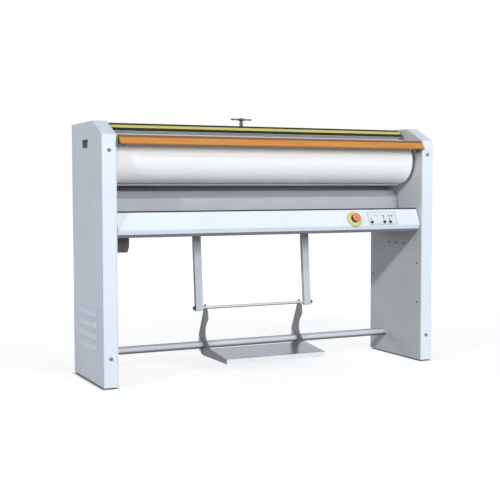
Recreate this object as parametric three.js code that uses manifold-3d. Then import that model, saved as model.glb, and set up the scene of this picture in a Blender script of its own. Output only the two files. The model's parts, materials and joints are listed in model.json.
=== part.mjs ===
// Flatwork ironer with one padded roller and a heated shoe behind it, pressed on by a foot treadle.
// Millimetres, +Z up. The operator stands on the -Y side; -X is on the operator's left.
// Linen goes over the wooden bar, under the finger guard, round the roller and down into the tray.
import * as THREE from 'three';
import { mergeVertices } from 'three/addons/utils/BufferGeometryUtils.js';
import Module from 'manifold-3d';

const wasm = await Module();
wasm.setup();

// ---------------------------------------------------------------- driving dimensions

// Fits
const seat = 0.3; // gap between pieces that seat on each other
const running = 0.1; // radial gap round a turning piece
const loose = 0.7; // radial gap round a button
const beltSideGap = 0.4; // belt to the sides of its grooves

// Pedestals: a folded frame plate inside, a sheet cover outside
const insideWidth = 1436; // between the two frame plates
const pedestalWidth = 60;
const pedestalDepth = 422;
const pedestalHeight = 1060;
const slopeRun = 121; // sloping front of the top, along Y
const slopeDrop = 59;
const cornerRadius = 5;
const floorGap = 6; // sheet metal stops this far above the floor
const framePlate = 4;
const frameFlange = 36; // fold of the frame plate inside the cover
const flangeWall = 3;
const coverWall = 2;
const coverFold = 4; // outer fold radius of the cover
const footRadius = 18;
const footHeight = 8;
const footStud = 5; // radius
const footStudLength = 24;
const footInset = 30; // foot centre from the front and rear faces

// Louvres and hand grips in the covers
const louvreCount = 4;
const louvrePitch = 45;
const louvreLowest = 160; // middle of the lowest louvre
const louvreLength = 236;
const louvreHeight = 36;
const louvreRise = 9; // how far a louvre is pressed out
const louvreFlat = 18; // upright part of a louvre's front, above its mouth
const louvreSheet = 1.2;
const gripTop = 85; // trapezoid opening, lengths along Y
const gripBottom = 64;
const gripHeight = 35;
const gripDrop = 72; // top edge below the pedestal's top
const gripFromFront = 181; // front end of the top edge
const gripDepth = 18;
const gripWall = 2;

// Roller
const rollerFromFront = 147; // axis behind the pedestals' front face
const rollerDrop = 149; // axis below the pedestals' top
const tubeRadius = 90;
const tubeWall = 4;
const padding = 12;
const rollerEndGap = 13; // from the padding to the frame plates
const journalRadius = 15;
const journalDisc = 12;
const bearingThickness = 14;
const bearingRadius = 29;
const bearingFlange = 42; // half side of the square flange
const bearingPlate = 8;
const bearingBolt = 4.5; // radius of the bolt holes
const bearingBoltInset = 12;

// Belt drive in the left pedestal
const rollerPulley = 60; // pitch radius
const motorPulley = 25;
const beltWidth = 13; // outside width of the V belt
const beltInside = 8;
const beltHeight = 8;
const grooveBelow = 1.2; // groove floor below the belt's inner edge
const pulleyWeb = 2.5; // half thickness
const pulleyWindows = 5;
const beltPlane = 28.5; // belt's middle plane behind the inner face of the frame plate
const motorFromFront = 234;
const motorHeight = 622;
const motorShaftRadius = 9;
const shaftStart = 14; // inner end of the motor shaft, inside the gearbox
const gearboxWidth = 116; // along X
const gearboxHalf = 35; // half its depth
const gearboxAbove = 34; // top above the motor shaft
const gearboxBelow = 100;
const gearboxRib = 3; // depth and half width of the grooves round its foot
const motorBarrel = 35; // radius over the cooling ribs
const motorRibs = 20;
const ribDepth = 3;
const barrelLength = 130;
const motorCowl = 37; // radius
const cowlLength = 36;
const motorDrop = 2; // motor's axis below the output shaft

// Heated shoe, hung from two pins at the top
const nip = 0.6; // shoe to padding when pressed on
const shoeSwing = 2.4; // degrees from open to pressed on
const shoePlate = 5;
const wrapBottom = -77; // degrees from the horizontal behind the roller
const wrapTop = 66;
const leadIn = 41; // straight entry of the plate
const leadOut = 12;
const pinBehind = 34; // hanging pin, behind and above the roller's axis
const pinAbove = 111;
const pinRadius = 6;
const shoeEndGap = 12; // shoe ends to the frame plates
const shoeEnd = 3; // end plate thickness
const shoeSheet = 2;
const shoeTop = 130.5; // cover top above the roller's axis
const shoeFront = 18; // cover front above the roller's axis, along Y
const shoeDepth = 153; // roller's axis to the arms' front face
const shoeBelow = 62; // bottom of the cover's back below the axis
const coverEndAngle = -38;
const heaterRadius = 6;
const blanket = 16;

// Finger guard on top of the shoe
const guardHingeBehind = 114; // hinge axis, behind and above the roller's axis
const guardHingeAbove = 135.5;
const guardPin = 2.5;
const guardRoll = 4.5;
const guardSheet = 1.5;
const guardBendBehind = 33; // upper edge of the coloured strip
const guardBendAbove = 147.3;
const guardNoseAhead = 12; // lower edge of the strip, ahead of the axis
const guardNoseAbove = 115.7;
const stripThickness = 4;

// Hanging arms, cross rod and treadle
const armSpacing = 534;
const armWidth = 34;
const armDepth = 20;
const armAbove = 74; // arm tops above the roller's axis
const rodFromFront = 255;
const rodHeight = 270;
const rodRadius = 6;
const rodEnd = 6; // rod beyond the arms
const capRadius = 9;
const capLength = 11;
const tubeFromFront = 296.5; // lower cross tube
const tubeHeight = 101;
const crossRadius = 17;
const crossWall = 2.5;
const hookInset = 31.5; // treadle's side edges inside the arms' middle lines
const treadleRear = 211; // from the pedestals' front face
const treadleFront = 31;
const treadleRearHeight = 97;
const treadleFrontHeight = 75.5;
const treadleLip = 21;
const treadleFold = 14; // rear edge
const treadleSheet = 3;
const hookPlate = 5;

// Front beam, tray and feed bar
const beamSheet = 2;
const beamEndGap = 5;
const beamTopDrop = 366; // below the pedestals' top
const beamTopBack = 35; // fold edges behind the pedestals' front face
const beamNose = 5;
const beamFaceHeight = 68;
const beamHeight = 100;
const beamReturn = 93; // top fold reaches this far back
const traySheet = 1.5;
const trayEndGap = 6;
const trayDepth = 82; // below the beam's top
const trayFloorEnd = 30; // back end of the tray's floor, behind the roller's axis
const trayWallBehind = 47.5; // bend at the top of the tray's steep wall
const trayWallAbove = 53;
const trayRimBehind = 80; // front and height of the tray's rear rim
const trayRimAbove = 83;
const trayRim = 12;
const barHeight = 38; // feed bar, a wedge with an upright back
const barRun = 33; // its face runs forward by this much
const barTopWidth = 15;
const barFootWidth = 36;
const barEndGap = 9;
const barTopFromFront = 2; // upper edge of the bar's face
const barTopDrop = 59.5;
const bracketPlate = 3; // feed bracket
const bracketShelf = 36;

// Rear rail, rear cover, spring and T-handle
const railHeight = 44;
const railDepth = 50;
const railSheet = 2.5;
const railTopDrop = 4;
const railFromBack = 9;
const rearSheet = 2;
const rearBottom = 604;
const rearSlots = 9; // groups of three air slots
const slotHalf = 45; // half length
const slotHeight = 8;
const slotRise = 22;
const slotsAbove = 60; // lowest slot above the cover's lower edge
const springWire = 1.5; // radius
const springRadius = 10;
const springTurns = 10;
const springSeat = 7.2; // radius of the bosses inside the spring's ends
const bracketDrop = 57; // spring bracket below the roller's axis
const bracketSheet = 4;
const bracketWidth = 44;
const nutDrop = 12; // nut below the rail's sheet
const nutHeight = 18;
const nutNeck = 14; // boss below the nut, inside the spring
const nutHalf = 20; // half its width
const screwRadius = 5;
const screwBelow = 22; // end of the screw below the nut's boss
const stemRadius = 8.5;
const stemCollar = 13.5; // radius
const handleLength = 104;
const handleGrip = 4.1; // radius near the bar's ends
const handleNeck = 3.1;
const handleHub = 7.5;
const handleHubHalf = 18; // half the hub's length along the bar
const handleAbove = 40; // bar's axis above the pedestals' top

// Controls on the beam's face
const stopPlace = 375; // along X
const stopUp = 30; // middle above the face's lower edge
const stopDisc = 35; // radius
const stopHead = 9; // height of the cap
const stopNeck = 14; // radius of the collar under the cap
const stopShaft = 8;
const stopCap = 19.5;
const stopReach = 27;
const stopTravel = 4;
const plateFrom = 443;
const plateTo = 595;
const plateBottom = 1;
const plateHeight = 64; // top edge above the face's lower edge
const plateThickness = 1.5;
const buttonPlaces = [460, 526, 556];
const buttonUp = 13; // above the face's lower edge
const buttonRadius = 6;
const buttonReach = 8;
const buttonTravel = 3;
const switchSpace = 11; // behind the beam's sheet, for the buttons' shafts
const boxDepth = 44;
const boxWall = 5;
const boxInset = 6; // box edges inside the plate's

// ---------------------------------------------------------------- places

const rad = THREE.MathUtils.degToRad;
const wall = insideWidth / 2;
const outer = wall + pedestalWidth;
const front = -pedestalDepth / 2;
const back = pedestalDepth / 2;
const top = pedestalHeight;
const axisY = front + rollerFromFront;
const axisZ = top - rollerDrop;
const padRadius = tubeRadius + padding;
const pinY = axisY + pinBehind;
const pinZ = axisZ + pinAbove;
const rodY = front + rodFromFront;
const crossY = front + tubeFromFront;
const motorY = front + motorFromFront;
const railBack = back - railFromBack;
const railFront = railBack - railDepth;
const railTop = top - railTopDrop;
const screwY = (railFront + railBack) / 2;

// The shoe's arc is centred on the roller when pressed on; here it hangs open.
function turned([y, z], [cy, cz], degrees) {
  const c = Math.cos(rad(degrees));
  const s = Math.sin(rad(degrees));
  return [cy + (y - cy) * c - (z - cz) * s, cz + (y - cy) * s + (z - cz) * c];
}
const arcCentre = turned([axisY, axisZ], [pinY, pinZ], shoeSwing);
const shoeRadius = padRadius + nip;

// The arms' centre line runs from the cross rod to the back of the shoe.
const armHeadY = axisY + shoeDepth + armDepth / 2;
const armRun = (armHeadY - rodY) / (axisZ - rodHeight);
const armSecant = Math.hypot(armRun, 1);
const armY = (z, ahead = 0) => rodY + (z - rodHeight) * armRun - ahead * armSecant;

// The beam's sloping face, and the frame in which the controls lie on it
const faceTop = [front + beamTopBack, top - beamTopDrop];
const faceFoot = [front + beamNose, top - beamTopDrop - beamFaceHeight];
const faceTilt = Math.atan2(faceTop[1] - faceFoot[1], faceTop[0] - faceFoot[0]);
const face = new THREE.Group();
face.position.set(0, ...faceFoot);
face.rotation.x = faceTilt;
face.updateMatrix();

// ---------------------------------------------------------------- geometry helpers

// Position-only, merged and facing outwards
function closed(geometry) {
  const bare = new THREE.BufferGeometry();
  bare.setAttribute('position', geometry.getAttribute('position'));
  bare.setIndex(geometry.getIndex());
  const merged = mergeVertices(bare, 1e-4);
  const index = Array.from(merged.getIndex().array);
  const p = merged.getAttribute('position');
  const corner = [new THREE.Vector3(), new THREE.Vector3(), new THREE.Vector3()];
  const kept = [];
  let volume = 0;
  for (let i = 0; i < index.length; i += 3) {
    const [a, b, c] = index.slice(i, i + 3);
    if (a === b || b === c || c === a) continue;
    kept.push(a, b, c);
    [a, b, c].forEach((v, k) => corner[k].fromBufferAttribute(p, v));
    volume += corner[0].dot(corner[1].cross(corner[2]));
  }
  merged.setIndex(volume < 0 ? kept.reverse() : kept);
  return merged;
}

function solid(geometry) {
  const vertProperties = Float32Array.from(geometry.getAttribute('position').array);
  const triVerts = Uint32Array.from(geometry.getIndex().array);
  return new wasm.Manifold(new wasm.Mesh({ numProp: 3, vertProperties, triVerts }));
}

function fromSolid(body) {
  const mesh = body.getMesh();
  const geometry = new THREE.BufferGeometry();
  const points = Float32Array.from(mesh.vertProperties);
  geometry.setAttribute('position', new THREE.BufferAttribute(points, mesh.numProp));
  geometry.setIndex(Array.from(mesh.triVerts));
  return geometry;
}

const join = (first, ...rest) => fromSolid(rest.reduce((s, g) => s.add(solid(g)), solid(first)));
const cut = (first, ...rest) => fromSolid(rest.reduce((s, g) => s.subtract(solid(g)), solid(first)));

function mirrored(geometry) {
  const copy = geometry.clone().applyMatrix4(new THREE.Matrix4().makeScale(-1, 1, 1));
  copy.setIndex(Array.from(copy.getIndex().array).reverse());
  return copy;
}

const toX = new THREE.Matrix4().makeBasis(
  new THREE.Vector3(0, 1, 0),
  new THREE.Vector3(0, 0, 1),
  new THREE.Vector3(1, 0, 0),
);
const vectors = (points) => points.map(([u, v]) => new THREE.Vector2(u, v));

// Extrusion of a plane outline along its third axis
function extruded(outline, depth, holes = []) {
  const shape = new THREE.Shape(vectors(outline));
  shape.holes = holes.map((hole) => new THREE.Path(vectors(hole)));
  return new THREE.ExtrudeGeometry(shape, { depth, bevelEnabled: false, steps: 1 });
}

// Outline in (y, z), extruded along X
function prismX(outline, from, to, holes = []) {
  return closed(extruded(outline, to - from, holes).applyMatrix4(toX).translate(from, 0, 0));
}

// Outline in (x, y), extruded along Z
function prismZ(outline, from, to, holes = []) {
  return closed(extruded(outline, to - from, holes).translate(0, 0, from));
}

// Profile of [radius, along] points, turned round Z or X
function latheZ(profile, segments) {
  const geometry = new THREE.LatheGeometry(vectors(profile), segments);
  return closed(geometry.applyMatrix4(new THREE.Matrix4().makeRotationX(Math.PI / 2)));
}
const latheX = (profile, segments) => latheZ(profile, segments).applyMatrix4(toX);

const rodX = (radius, from, to, segments) =>
  latheX([[0, from], [radius, from], [radius, to], [0, to]], segments);
const rodZ = (radius, from, to, segments) =>
  latheZ([[0, from], [radius, from], [radius, to], [0, to]], segments);
const ringX = (inner, outerRadius, from, to, segments) =>
  latheX([[inner, from], [outerRadius, from], [outerRadius, to], [inner, to], [inner, from]], segments);
const block = (x0, x1, y0, y1, z0, z1) =>
  prismX([[y0, z0], [y1, z0], [y1, z1], [y0, z1]], x0, x1);

// A hole's corner radius, so that its flats clear the given radius
const boreRadius = (radius, segments) => radius / Math.cos(Math.PI / segments);

function arc(cy, cz, radius, from, to, steps) {
  const points = [];
  for (let i = 0; i <= steps; i++) {
    const a = rad(from + ((to - from) * i) / steps);
    points.push([cy + radius * Math.cos(a), cz + radius * Math.sin(a)]);
  }
  return points;
}
const circle = (cy, cz, radius, segments) => arc(cy, cz, radius, 0, 360, segments).slice(1);

// Corners [y, z, radius] with their round corners drawn as arcs
function rounded(corners, open = false) {
  const step = 22.5;
  const points = [];
  const n = corners.length;
  corners.forEach(([y, z, radius = 0], i) => {
    if (radius <= 0 || (open && (i === 0 || i === n - 1))) {
      points.push([y, z]);
      return;
    }
    const before = new THREE.Vector2(...corners[(i + n - 1) % n]).sub(new THREE.Vector2(y, z)).normalize();
    const after = new THREE.Vector2(...corners[(i + 1) % n]).sub(new THREE.Vector2(y, z)).normalize();
    const half = Math.acos(THREE.MathUtils.clamp(before.dot(after), -1, 1)) / 2;
    const middle = before.clone().add(after).normalize().multiplyScalar(radius / Math.sin(half));
    const turn = 180 - THREE.MathUtils.radToDeg(2 * half);
    const side = Math.sign(-before.cross(after));
    const touch = before.clone().multiplyScalar(radius / Math.tan(half)).sub(middle);
    const start = THREE.MathUtils.radToDeg(touch.angle());
    const steps = Math.max(1, Math.round(turn / step));
    points.push(...arc(y + middle.x, z + middle.y, radius, start, start + side * turn, steps));
  });
  return points;
}

// The same line moved sideways, to the left of its direction
function shifted(path, distance) {
  return path.map(([y, z], i) => {
    const p = new THREE.Vector2(y, z);
    const prev = i > 0 ? p.clone().sub(new THREE.Vector2(...path[i - 1])).normalize() : null;
    const next = i < path.length - 1 ? new THREE.Vector2(...path[i + 1]).sub(p).normalize() : null;
    const a = prev ?? next;
    const b = next ?? prev;
    const along = a.clone().add(b).normalize();
    const reach = distance / along.dot(a);
    return [y - along.y * reach, z + along.x * reach];
  });
}

// Bent sheet: an open path thickened to its left
const sheet = (path, thickness) => [...path, ...shifted(path, thickness).reverse()];

// Closed outline of convex corners moved inwards (corners run anticlockwise)
function inset(corners, distance) {
  const n = corners.length;
  return corners.map(([y, z, radius = 0], i) => {
    const p = new THREE.Vector2(y, z);
    const a = p.clone().sub(new THREE.Vector2(...corners[(i + n - 1) % n])).normalize();
    const b = new THREE.Vector2(...corners[(i + 1) % n]).sub(p).normalize();
    const along = a.clone().add(b).normalize();
    const reach = distance / along.dot(a);
    return [y - along.y * reach, z + along.x * reach, radius > 0 ? Math.max(radius - distance, 0.4) : 0];
  });
}

// Solid between outlines of equal length at rising x
function loftX(sections) {
  const count = sections[0].outline.length;
  const positions = [];
  const index = [];
  sections.forEach(({ x, outline }) => outline.forEach(([y, z]) => positions.push(x, y, z)));
  for (let s = 0; s + 1 < sections.length; s++) {
    for (let i = 0; i < count; i++) {
      const j = (i + 1) % count;
      const a = s * count;
      index.push(a + i, a + j, a + count + j, a + i, a + count + j, a + count + i);
    }
  }
  const last = (sections.length - 1) * count;
  for (const [a, b, c] of THREE.ShapeUtils.triangulateShape(vectors(sections[0].outline), [])) {
    index.push(c, b, a);
    index.push(last + a, last + b, last + c);
  }
  const geometry = new THREE.BufferGeometry();
  geometry.setAttribute('position', new THREE.Float32BufferAttribute(positions, 3));
  geometry.setIndex(index);
  return closed(geometry);
}

// ---------------------------------------------------------------- materials

const finish = (color, roughness, metalness = 0) =>
  new THREE.MeshStandardMaterial({ color, roughness, metalness });
const whitePaint = finish(0xe9eef2, 0.4);
const greyPaint = finish(0xa9b4c4, 0.45);
const framePaint = finish(0x8f9298, 0.5);
const bareSteel = finish(0xb4b7bb, 0.35, 1);
const brightSteel = finish(0xc9ccd0, 0.2, 1);
const darkSteel = finish(0x34363a, 0.5, 0.6);
const blackPlastic = finish(0x1b1c1e, 0.5);
const cloth = finish(0xf2f2f0, 0.9);
const wood = finish(0xd98b3c, 0.5);
const yellowPlastic = finish(0xd9dc5a, 0.45);
const stopYellow = finish(0xf0c52a, 0.4);
const stopRed = finish(0xc5352c, 0.35);
const blackRubber = finish(0x202020, 0.8);
const blanketCloth = finish(0xcfc9b8, 0.95);

const machine = new THREE.Group();

function add(name, geometry, material, parent = machine) {
  const mesh = new THREE.Mesh(geometry, material);
  mesh.name = name;
  parent.add(mesh);
  return mesh;
}

function addPair(suffix, rightGeometry, material) {
  add(`right_${suffix}`, rightGeometry, material);
  add(`left_${suffix}`, mirrored(rightGeometry), material);
}

// ---------------------------------------------------------------- pedestals

const pedestalCorners = [
  [front, floorGap],
  [back, floorGap],
  [back, top, cornerRadius],
  [front + slopeRun, top, cornerRadius],
  [front, top - slopeDrop, cornerRadius],
];

const footX = wall + pedestalWidth / 2;
function framePlateSolid(shaftHoles) {
  const flangeOutside = inset(pedestalCorners, coverWall + seat);
  const plate = prismX(rounded(pedestalCorners), wall, wall + framePlate);
  const flange = prismX(
    rounded(flangeOutside),
    wall + framePlate / 2,
    wall + frameFlange,
    [rounded(inset(flangeOutside, flangeWall))],
  );
  const studs = [front + footInset, back - footInset].map((y) =>
    rodZ(boreRadius(footStud + seat, 12), 0, 2 * floorGap + flangeWall, 12).translate(footX, y, 0));
  const holes = shaftHoles.map(([y, z, radius]) =>
    rodX(radius, wall - 1, wall + framePlate + 1, 24).translate(0, y, z));
  return cut(join(plate, flange), ...studs, ...holes);
}

const rollerHole = [axisY, axisZ, journalRadius + 4];
const motorHole = [motorY, motorHeight, motorShaftRadius + 4];
add('right_frame_plate', framePlateSolid([rollerHole]), framePaint);
add('left_frame_plate', mirrored(framePlateSolid([rollerHole, motorHole])), framePaint);

// Hand grip: a trapezoid with round corners, as a recessed cup in the cover
const gripFront = front + gripFromFront;
const gripZ = top - gripDrop;
const gripSide = (gripTop - gripBottom) / 2;
const gripCorners = [
  [gripFront + gripSide, gripZ - gripHeight, 5],
  [gripFront + gripTop - gripSide, gripZ - gripHeight, 5],
  [gripFront + gripTop, gripZ, 5],
  [gripFront, gripZ, 5],
];

// One louvre, pressed out with its mouth on the lower side; made smaller by the sheet it is its own hollow
function louvreHood(z, less) {
  const base = outer - coverWall / 2;
  const low = z - louvreHeight / 2 - less;
  const high = z + louvreHeight / 2 - less;
  const half = louvreLength / 2 - less;
  const rise = louvreRise - less;
  const plan = prismZ([
    [base, -half], [outer, -half], [outer + rise, rise - half],
    [outer + rise, half - rise], [outer, half], [base, half]], low, high);
  const bend = z - louvreHeight / 2 + louvreFlat;
  const profile = extruded(
    [[base, low], [outer + rise, low], [outer + rise, bend], [outer, high], [base, high]], 2 * half);
  const upright = new THREE.Matrix4().makeBasis(
    new THREE.Vector3(1, 0, 0),
    new THREE.Vector3(0, 0, 1),
    new THREE.Vector3(0, -1, 0),
  );
  const along = closed(profile.applyMatrix4(upright).translate(0, half, 0));
  return fromSolid(solid(plan).intersect(solid(along)));
}

function coverSolid() {
  const steps = 3;
  const sections = [{ x: wall + framePlate + seat, outline: rounded(pedestalCorners) }];
  for (let i = 0; i <= steps; i++) {
    const a = rad((90 * i) / steps);
    const corners = inset(pedestalCorners, coverFold * (1 - Math.cos(a))).map(([y, z, r]) => [y, z, r]);
    corners[0][1] = floorGap;
    corners[1][1] = floorGap;
    sections.push({ x: outer - coverFold * (1 - Math.sin(a)), outline: rounded(corners) });
  }
  const cavity = inset(pedestalCorners, coverWall);
  cavity[0][1] = -1;
  cavity[1][1] = -1;
  let shell = cut(
    loftX(sections),
    prismX(rounded(cavity), wall, outer - coverWall),
    prismX(rounded(gripCorners), outer - 2 * coverWall, outer + 1),
  );
  for (let i = 0; i < louvreCount; i++) {
    const z = louvreLowest + i * louvrePitch;
    const hood = cut(louvreHood(z, 0), louvreHood(z, louvreSheet));
    const slotEnd = louvreLength / 2 - 2 * louvreRise;
    const slotLow = z - louvreHeight / 2 + louvreSheet;
    const slot = block(outer - 2 * coverWall, outer + louvreSheet / 2, -slotEnd, slotEnd, slotLow,
      slotLow + louvreFlat);
    shell = join(cut(shell, slot), hood);
  }
  return shell;
}
addPair('cover', coverSolid(), whitePaint);

function gripCupSolid() {
  const rim = prismX(rounded(inset(gripCorners, seat)), outer - gripDepth, outer);
  const lip = prismX(rounded(inset(gripCorners, -3)), outer - coverWall - seat - 2, outer - coverWall - seat);
  const hollow = prismX(rounded(inset(gripCorners, seat + gripWall)), outer - gripDepth + gripWall, outer + 1);
  return cut(join(rim, lip), hollow);
}
addPair('grip_cup', gripCupSolid(), blackPlastic);

for (const [side, x] of [['left', -footX], ['right', footX]]) {
  for (const [end, y] of [['front', front + footInset], ['rear', back - footInset]]) {
    const profile = [[0, 0], [footRadius - 1.5, 0], [footRadius, 1.5], [footRadius, footHeight - 2],
      [footRadius - 5, footHeight], [footStud, footHeight], [footStud, footHeight + footStudLength],
      [0, footHeight + footStudLength]];
    add(`${side}_${end}_foot`, latheZ(profile, 20).translate(x, y, 0), blackPlastic);
  }
}

// ---------------------------------------------------------------- roller

const padEnd = wall - rollerEndGap;
const tubeEnd = padEnd - 5;
const drumRadius = tubeRadius - tubeWall;
add('roller_tube',
  ringX(drumRadius, tubeRadius, -tubeEnd, tubeEnd, 48).translate(0, axisY, axisZ), bareSteel);
const padInner = boreRadius(tubeRadius + seat, 48);
add('roller_padding', latheX([
  [padInner, -padEnd], [padRadius - 6, -padEnd], [padRadius - 1.8, -padEnd + 1.8], [padRadius, -padEnd + 6],
  [padRadius, padEnd - 6], [padRadius - 1.8, padEnd - 1.8], [padRadius - 6, padEnd], [padInner, padEnd],
  [padInner, -padEnd]], 48).translate(0, axisY, axisZ), cloth);

function journal(end) {
  const disc = drumRadius * Math.cos(Math.PI / 48) - seat;
  return latheX([[0, tubeEnd - journalDisc], [disc, tubeEnd - journalDisc], [disc, tubeEnd],
    [journalRadius + 8, tubeEnd], [journalRadius + 8, tubeEnd + 6], [journalRadius, tubeEnd + 6],
    [journalRadius, end - 1.5], [journalRadius - 1.5, end], [0, end]], 32).translate(0, axisY, axisZ);
}
const driveX = wall + beltPlane;
const pulleyHalf = beltWidth / 2 + 2;
add('right_journal', journal(wall + framePlate + bearingThickness + 6), brightSteel);
add('left_journal', mirrored(journal(driveX + pulleyHalf + 4)), brightSteel);

function bearingSolid() {
  const from = wall + framePlate;
  const flange = [[-1, -1], [1, -1], [1, 1], [-1, 1]].map(([y, z]) =>
    [axisY + y * bearingFlange, axisZ + z * bearingFlange, bearingBoltInset]);
  const boss = rodX(bearingRadius, from, from + bearingThickness, 24).translate(0, axisY, axisZ);
  const bore = rodX(boreRadius(journalRadius + running, 24), from - 1, from + bearingThickness + 1, 24);
  const bolts = [[-1, -1], [1, -1], [1, 1], [-1, 1]].map(([y, z]) =>
    rodX(bearingBolt, from - 1, from + bearingThickness, 8).translate(0,
      axisY + y * (bearingFlange - bearingBoltInset), axisZ + z * (bearingFlange - bearingBoltInset)));
  return cut(join(prismX(rounded(flange), from, from + bearingPlate), boss),
    bore.translate(0, axisY, axisZ), ...bolts);
}
addPair('roller_bearing', bearingSolid(), darkSteel);

// ---------------------------------------------------------------- belt drive

const centres = Math.hypot(axisY - motorY, axisZ - motorHeight);
const lean = THREE.MathUtils.radToDeg(Math.atan2(axisZ - motorHeight, axisY - motorY));
const spread = THREE.MathUtils.radToDeg(Math.asin((rollerPulley - motorPulley) / centres));

// V belt round both pulleys: the same path at the outer and the inner edge of its section
function beltSolid() {
  const loop = (out) => [
    ...arc(axisY, axisZ, rollerPulley + out, lean - 90 - spread, lean + 90 + spread, 18),
    ...arc(motorY, motorHeight, motorPulley + out, lean + 90 + spread, lean + 270 - spread, 10)];
  const outside = loop(beltHeight / 2);
  const inside = loop(-beltHeight / 2);
  const positions = [];
  const index = [];
  const n = outside.length;
  for (let i = 0; i < n; i++) {
    positions.push(driveX - beltWidth / 2, ...outside[i], driveX + beltWidth / 2, ...outside[i]);
    positions.push(driveX + beltInside / 2, ...inside[i], driveX - beltInside / 2, ...inside[i]);
  }
  for (let i = 0; i < n; i++) {
    const j = (i + 1) % n;
    for (let k = 0; k < 4; k++) {
      const m = (k + 1) % 4;
      index.push(4 * i + k, 4 * i + m, 4 * j + m, 4 * i + k, 4 * j + m, 4 * j + k);
    }
  }
  const geometry = new THREE.BufferGeometry();
  geometry.setAttribute('position', new THREE.Float32BufferAttribute(positions, 3));
  geometry.setIndex(index);
  return closed(geometry);
}
add('drive_belt', mirrored(beltSolid()), blackRubber);

// Groove that clears the belt's sides and its inner edge, from the near rim to the far one
function groove(pitch) {
  const rim = pitch + beltHeight / 2;
  const floor = pitch - beltHeight / 2 - grooveBelow;
  return [[rim, driveX - pulleyHalf], [rim, driveX - beltWidth / 2 - beltSideGap],
    [floor, driveX - beltInside / 2 - beltSideGap], [floor, driveX + beltInside / 2 + beltSideGap],
    [rim, driveX + beltWidth / 2 + beltSideGap], [rim, driveX + pulleyHalf]];
}

function rollerPulleySolid() {
  const bore = boreRadius(journalRadius + running, 24);
  const hub = journalRadius + 8;
  const rim = rollerPulley - beltHeight / 2 - grooveBelow - 3.5;
  const body = latheX([
    [bore, driveX - pulleyHalf], [hub, driveX - pulleyHalf], [hub, driveX - pulleyWeb],
    [rim, driveX - pulleyWeb], [rim, driveX - pulleyHalf], ...groove(rollerPulley),
    [rim, driveX + pulleyHalf], [rim, driveX + pulleyWeb],
    [hub, driveX + pulleyWeb], [hub, driveX + pulleyHalf], [bore, driveX + pulleyHalf],
    [bore, driveX - pulleyHalf]], 24);
  const windows = circle(0, 0, (hub + rim) / 2, pulleyWindows).map(([y, z]) =>
    rodX((rim - hub) * 0.36, driveX - 2 * pulleyWeb, driveX + 2 * pulleyWeb, 8).translate(0, y, z));
  return cut(body, ...windows).translate(0, axisY, axisZ);
}
add('roller_pulley', mirrored(rollerPulleySolid()), darkSteel);

const motorBore = boreRadius(motorShaftRadius + running, 24);
add('motor_pulley', mirrored(latheX([
  [motorBore, driveX - pulleyHalf], ...groove(motorPulley), [motorBore, driveX + pulleyHalf],
  [motorBore, driveX - pulleyHalf]], 24).translate(0, motorY, motorHeight)), darkSteel);
const shaftInside = wall - shaftStart;
add('motor_shaft', mirrored(rodX(motorShaftRadius, shaftInside, driveX + pulleyHalf + 4, 24)
  .translate(0, motorY, motorHeight)), brightSteel);

// Worm gearbox with a grooved foot, and its motor with cooling ribs and a fan cowl
function gearMotorSolid() {
  const boxEnd = wall - gearboxWidth;
  const low = motorHeight - gearboxBelow;
  const half = gearboxHalf;
  const casting = [
    [motorY - half, low + 0.75 * half, 14], [motorY - 0.35 * half, low, 12],
    [motorY + 0.63 * half, low + 0.12 * half, 12], [motorY + half, low + 0.57 * half, 10],
    [motorY + half, motorHeight + gearboxAbove, 12], [motorY - half, motorHeight + gearboxAbove, 12]];
  const box = prismX(rounded(casting), boxEnd, wall - seat);
  const ribs = [];
  for (let i = 0; i < motorRibs; i++) {
    const turn = (360 * i) / motorRibs;
    const width = 90 / motorRibs;
    ribs.push(...arc(motorY, motorHeight - motorDrop, motorBarrel, turn - width, turn + width, 1));
    ribs.push(...arc(motorY, motorHeight - motorDrop, motorBarrel - ribDepth,
      turn + width, turn + 3 * width, 1));
  }
  const barrelEnd = boxEnd - barrelLength;
  const barrel = prismX(ribs, barrelEnd, boxEnd + 1);
  const cowl = latheX([[0, barrelEnd - cowlLength], [motorCowl - 5, barrelEnd - cowlLength],
    [motorCowl, barrelEnd - cowlLength + 5], [motorCowl, barrelEnd + 1], [0, barrelEnd + 1]], 28)
    .translate(0, motorY, motorHeight - motorDrop);
  const recess = rodX(motorBore, shaftInside - seat, wall + 1, 24).translate(0, motorY, motorHeight);
  const grooves = [0.25, 0.5, 0.75].map((share) => {
    const x = boxEnd + gearboxWidth * share;
    const round = block(x - gearboxRib, x + gearboxRib, motorY - 2 * half, motorY + 2 * half,
      low - half, low + half);
    return cut(round, prismX(rounded(inset(casting, gearboxRib)), x - 2 * gearboxRib, x + 2 * gearboxRib));
  });
  return cut(join(box, barrel, cowl), recess, ...grooves);
}
add('gear_motor', mirrored(gearMotorSolid()), darkSteel);

// ---------------------------------------------------------------- heated shoe

const [arcY, arcZ] = arcCentre;
const onArc = (radius, degrees) =>
  [arcY + radius * Math.cos(rad(degrees)), arcZ + radius * Math.sin(rad(degrees))];
// Point on the straight entry, a length past the arc's upper end and a height above its inner face
function onLead(along, above) {
  const [y, z] = onArc(shoeRadius + above, wrapTop);
  return [y - along * Math.sin(rad(wrapTop)), z + along * Math.cos(rad(wrapTop))];
}
function onExit(along, below) {
  const [y, z] = onArc(shoeRadius + below, wrapBottom);
  return [y + along * Math.sin(rad(wrapBottom)), z - along * Math.cos(rad(wrapBottom))];
}
const shoeEdge = wall - shoeEndGap - shoeEnd;
const shoeArc = arc(arcY, arcZ, shoeRadius, wrapBottom, wrapTop, 30);
const shoePath = [onExit(leadOut, 0), ...shoeArc, onLead(leadIn, 0)];
add('shoe_plate', prismX(sheet(shoePath, -shoePlate), -shoeEdge, shoeEdge), brightSteel);

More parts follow.
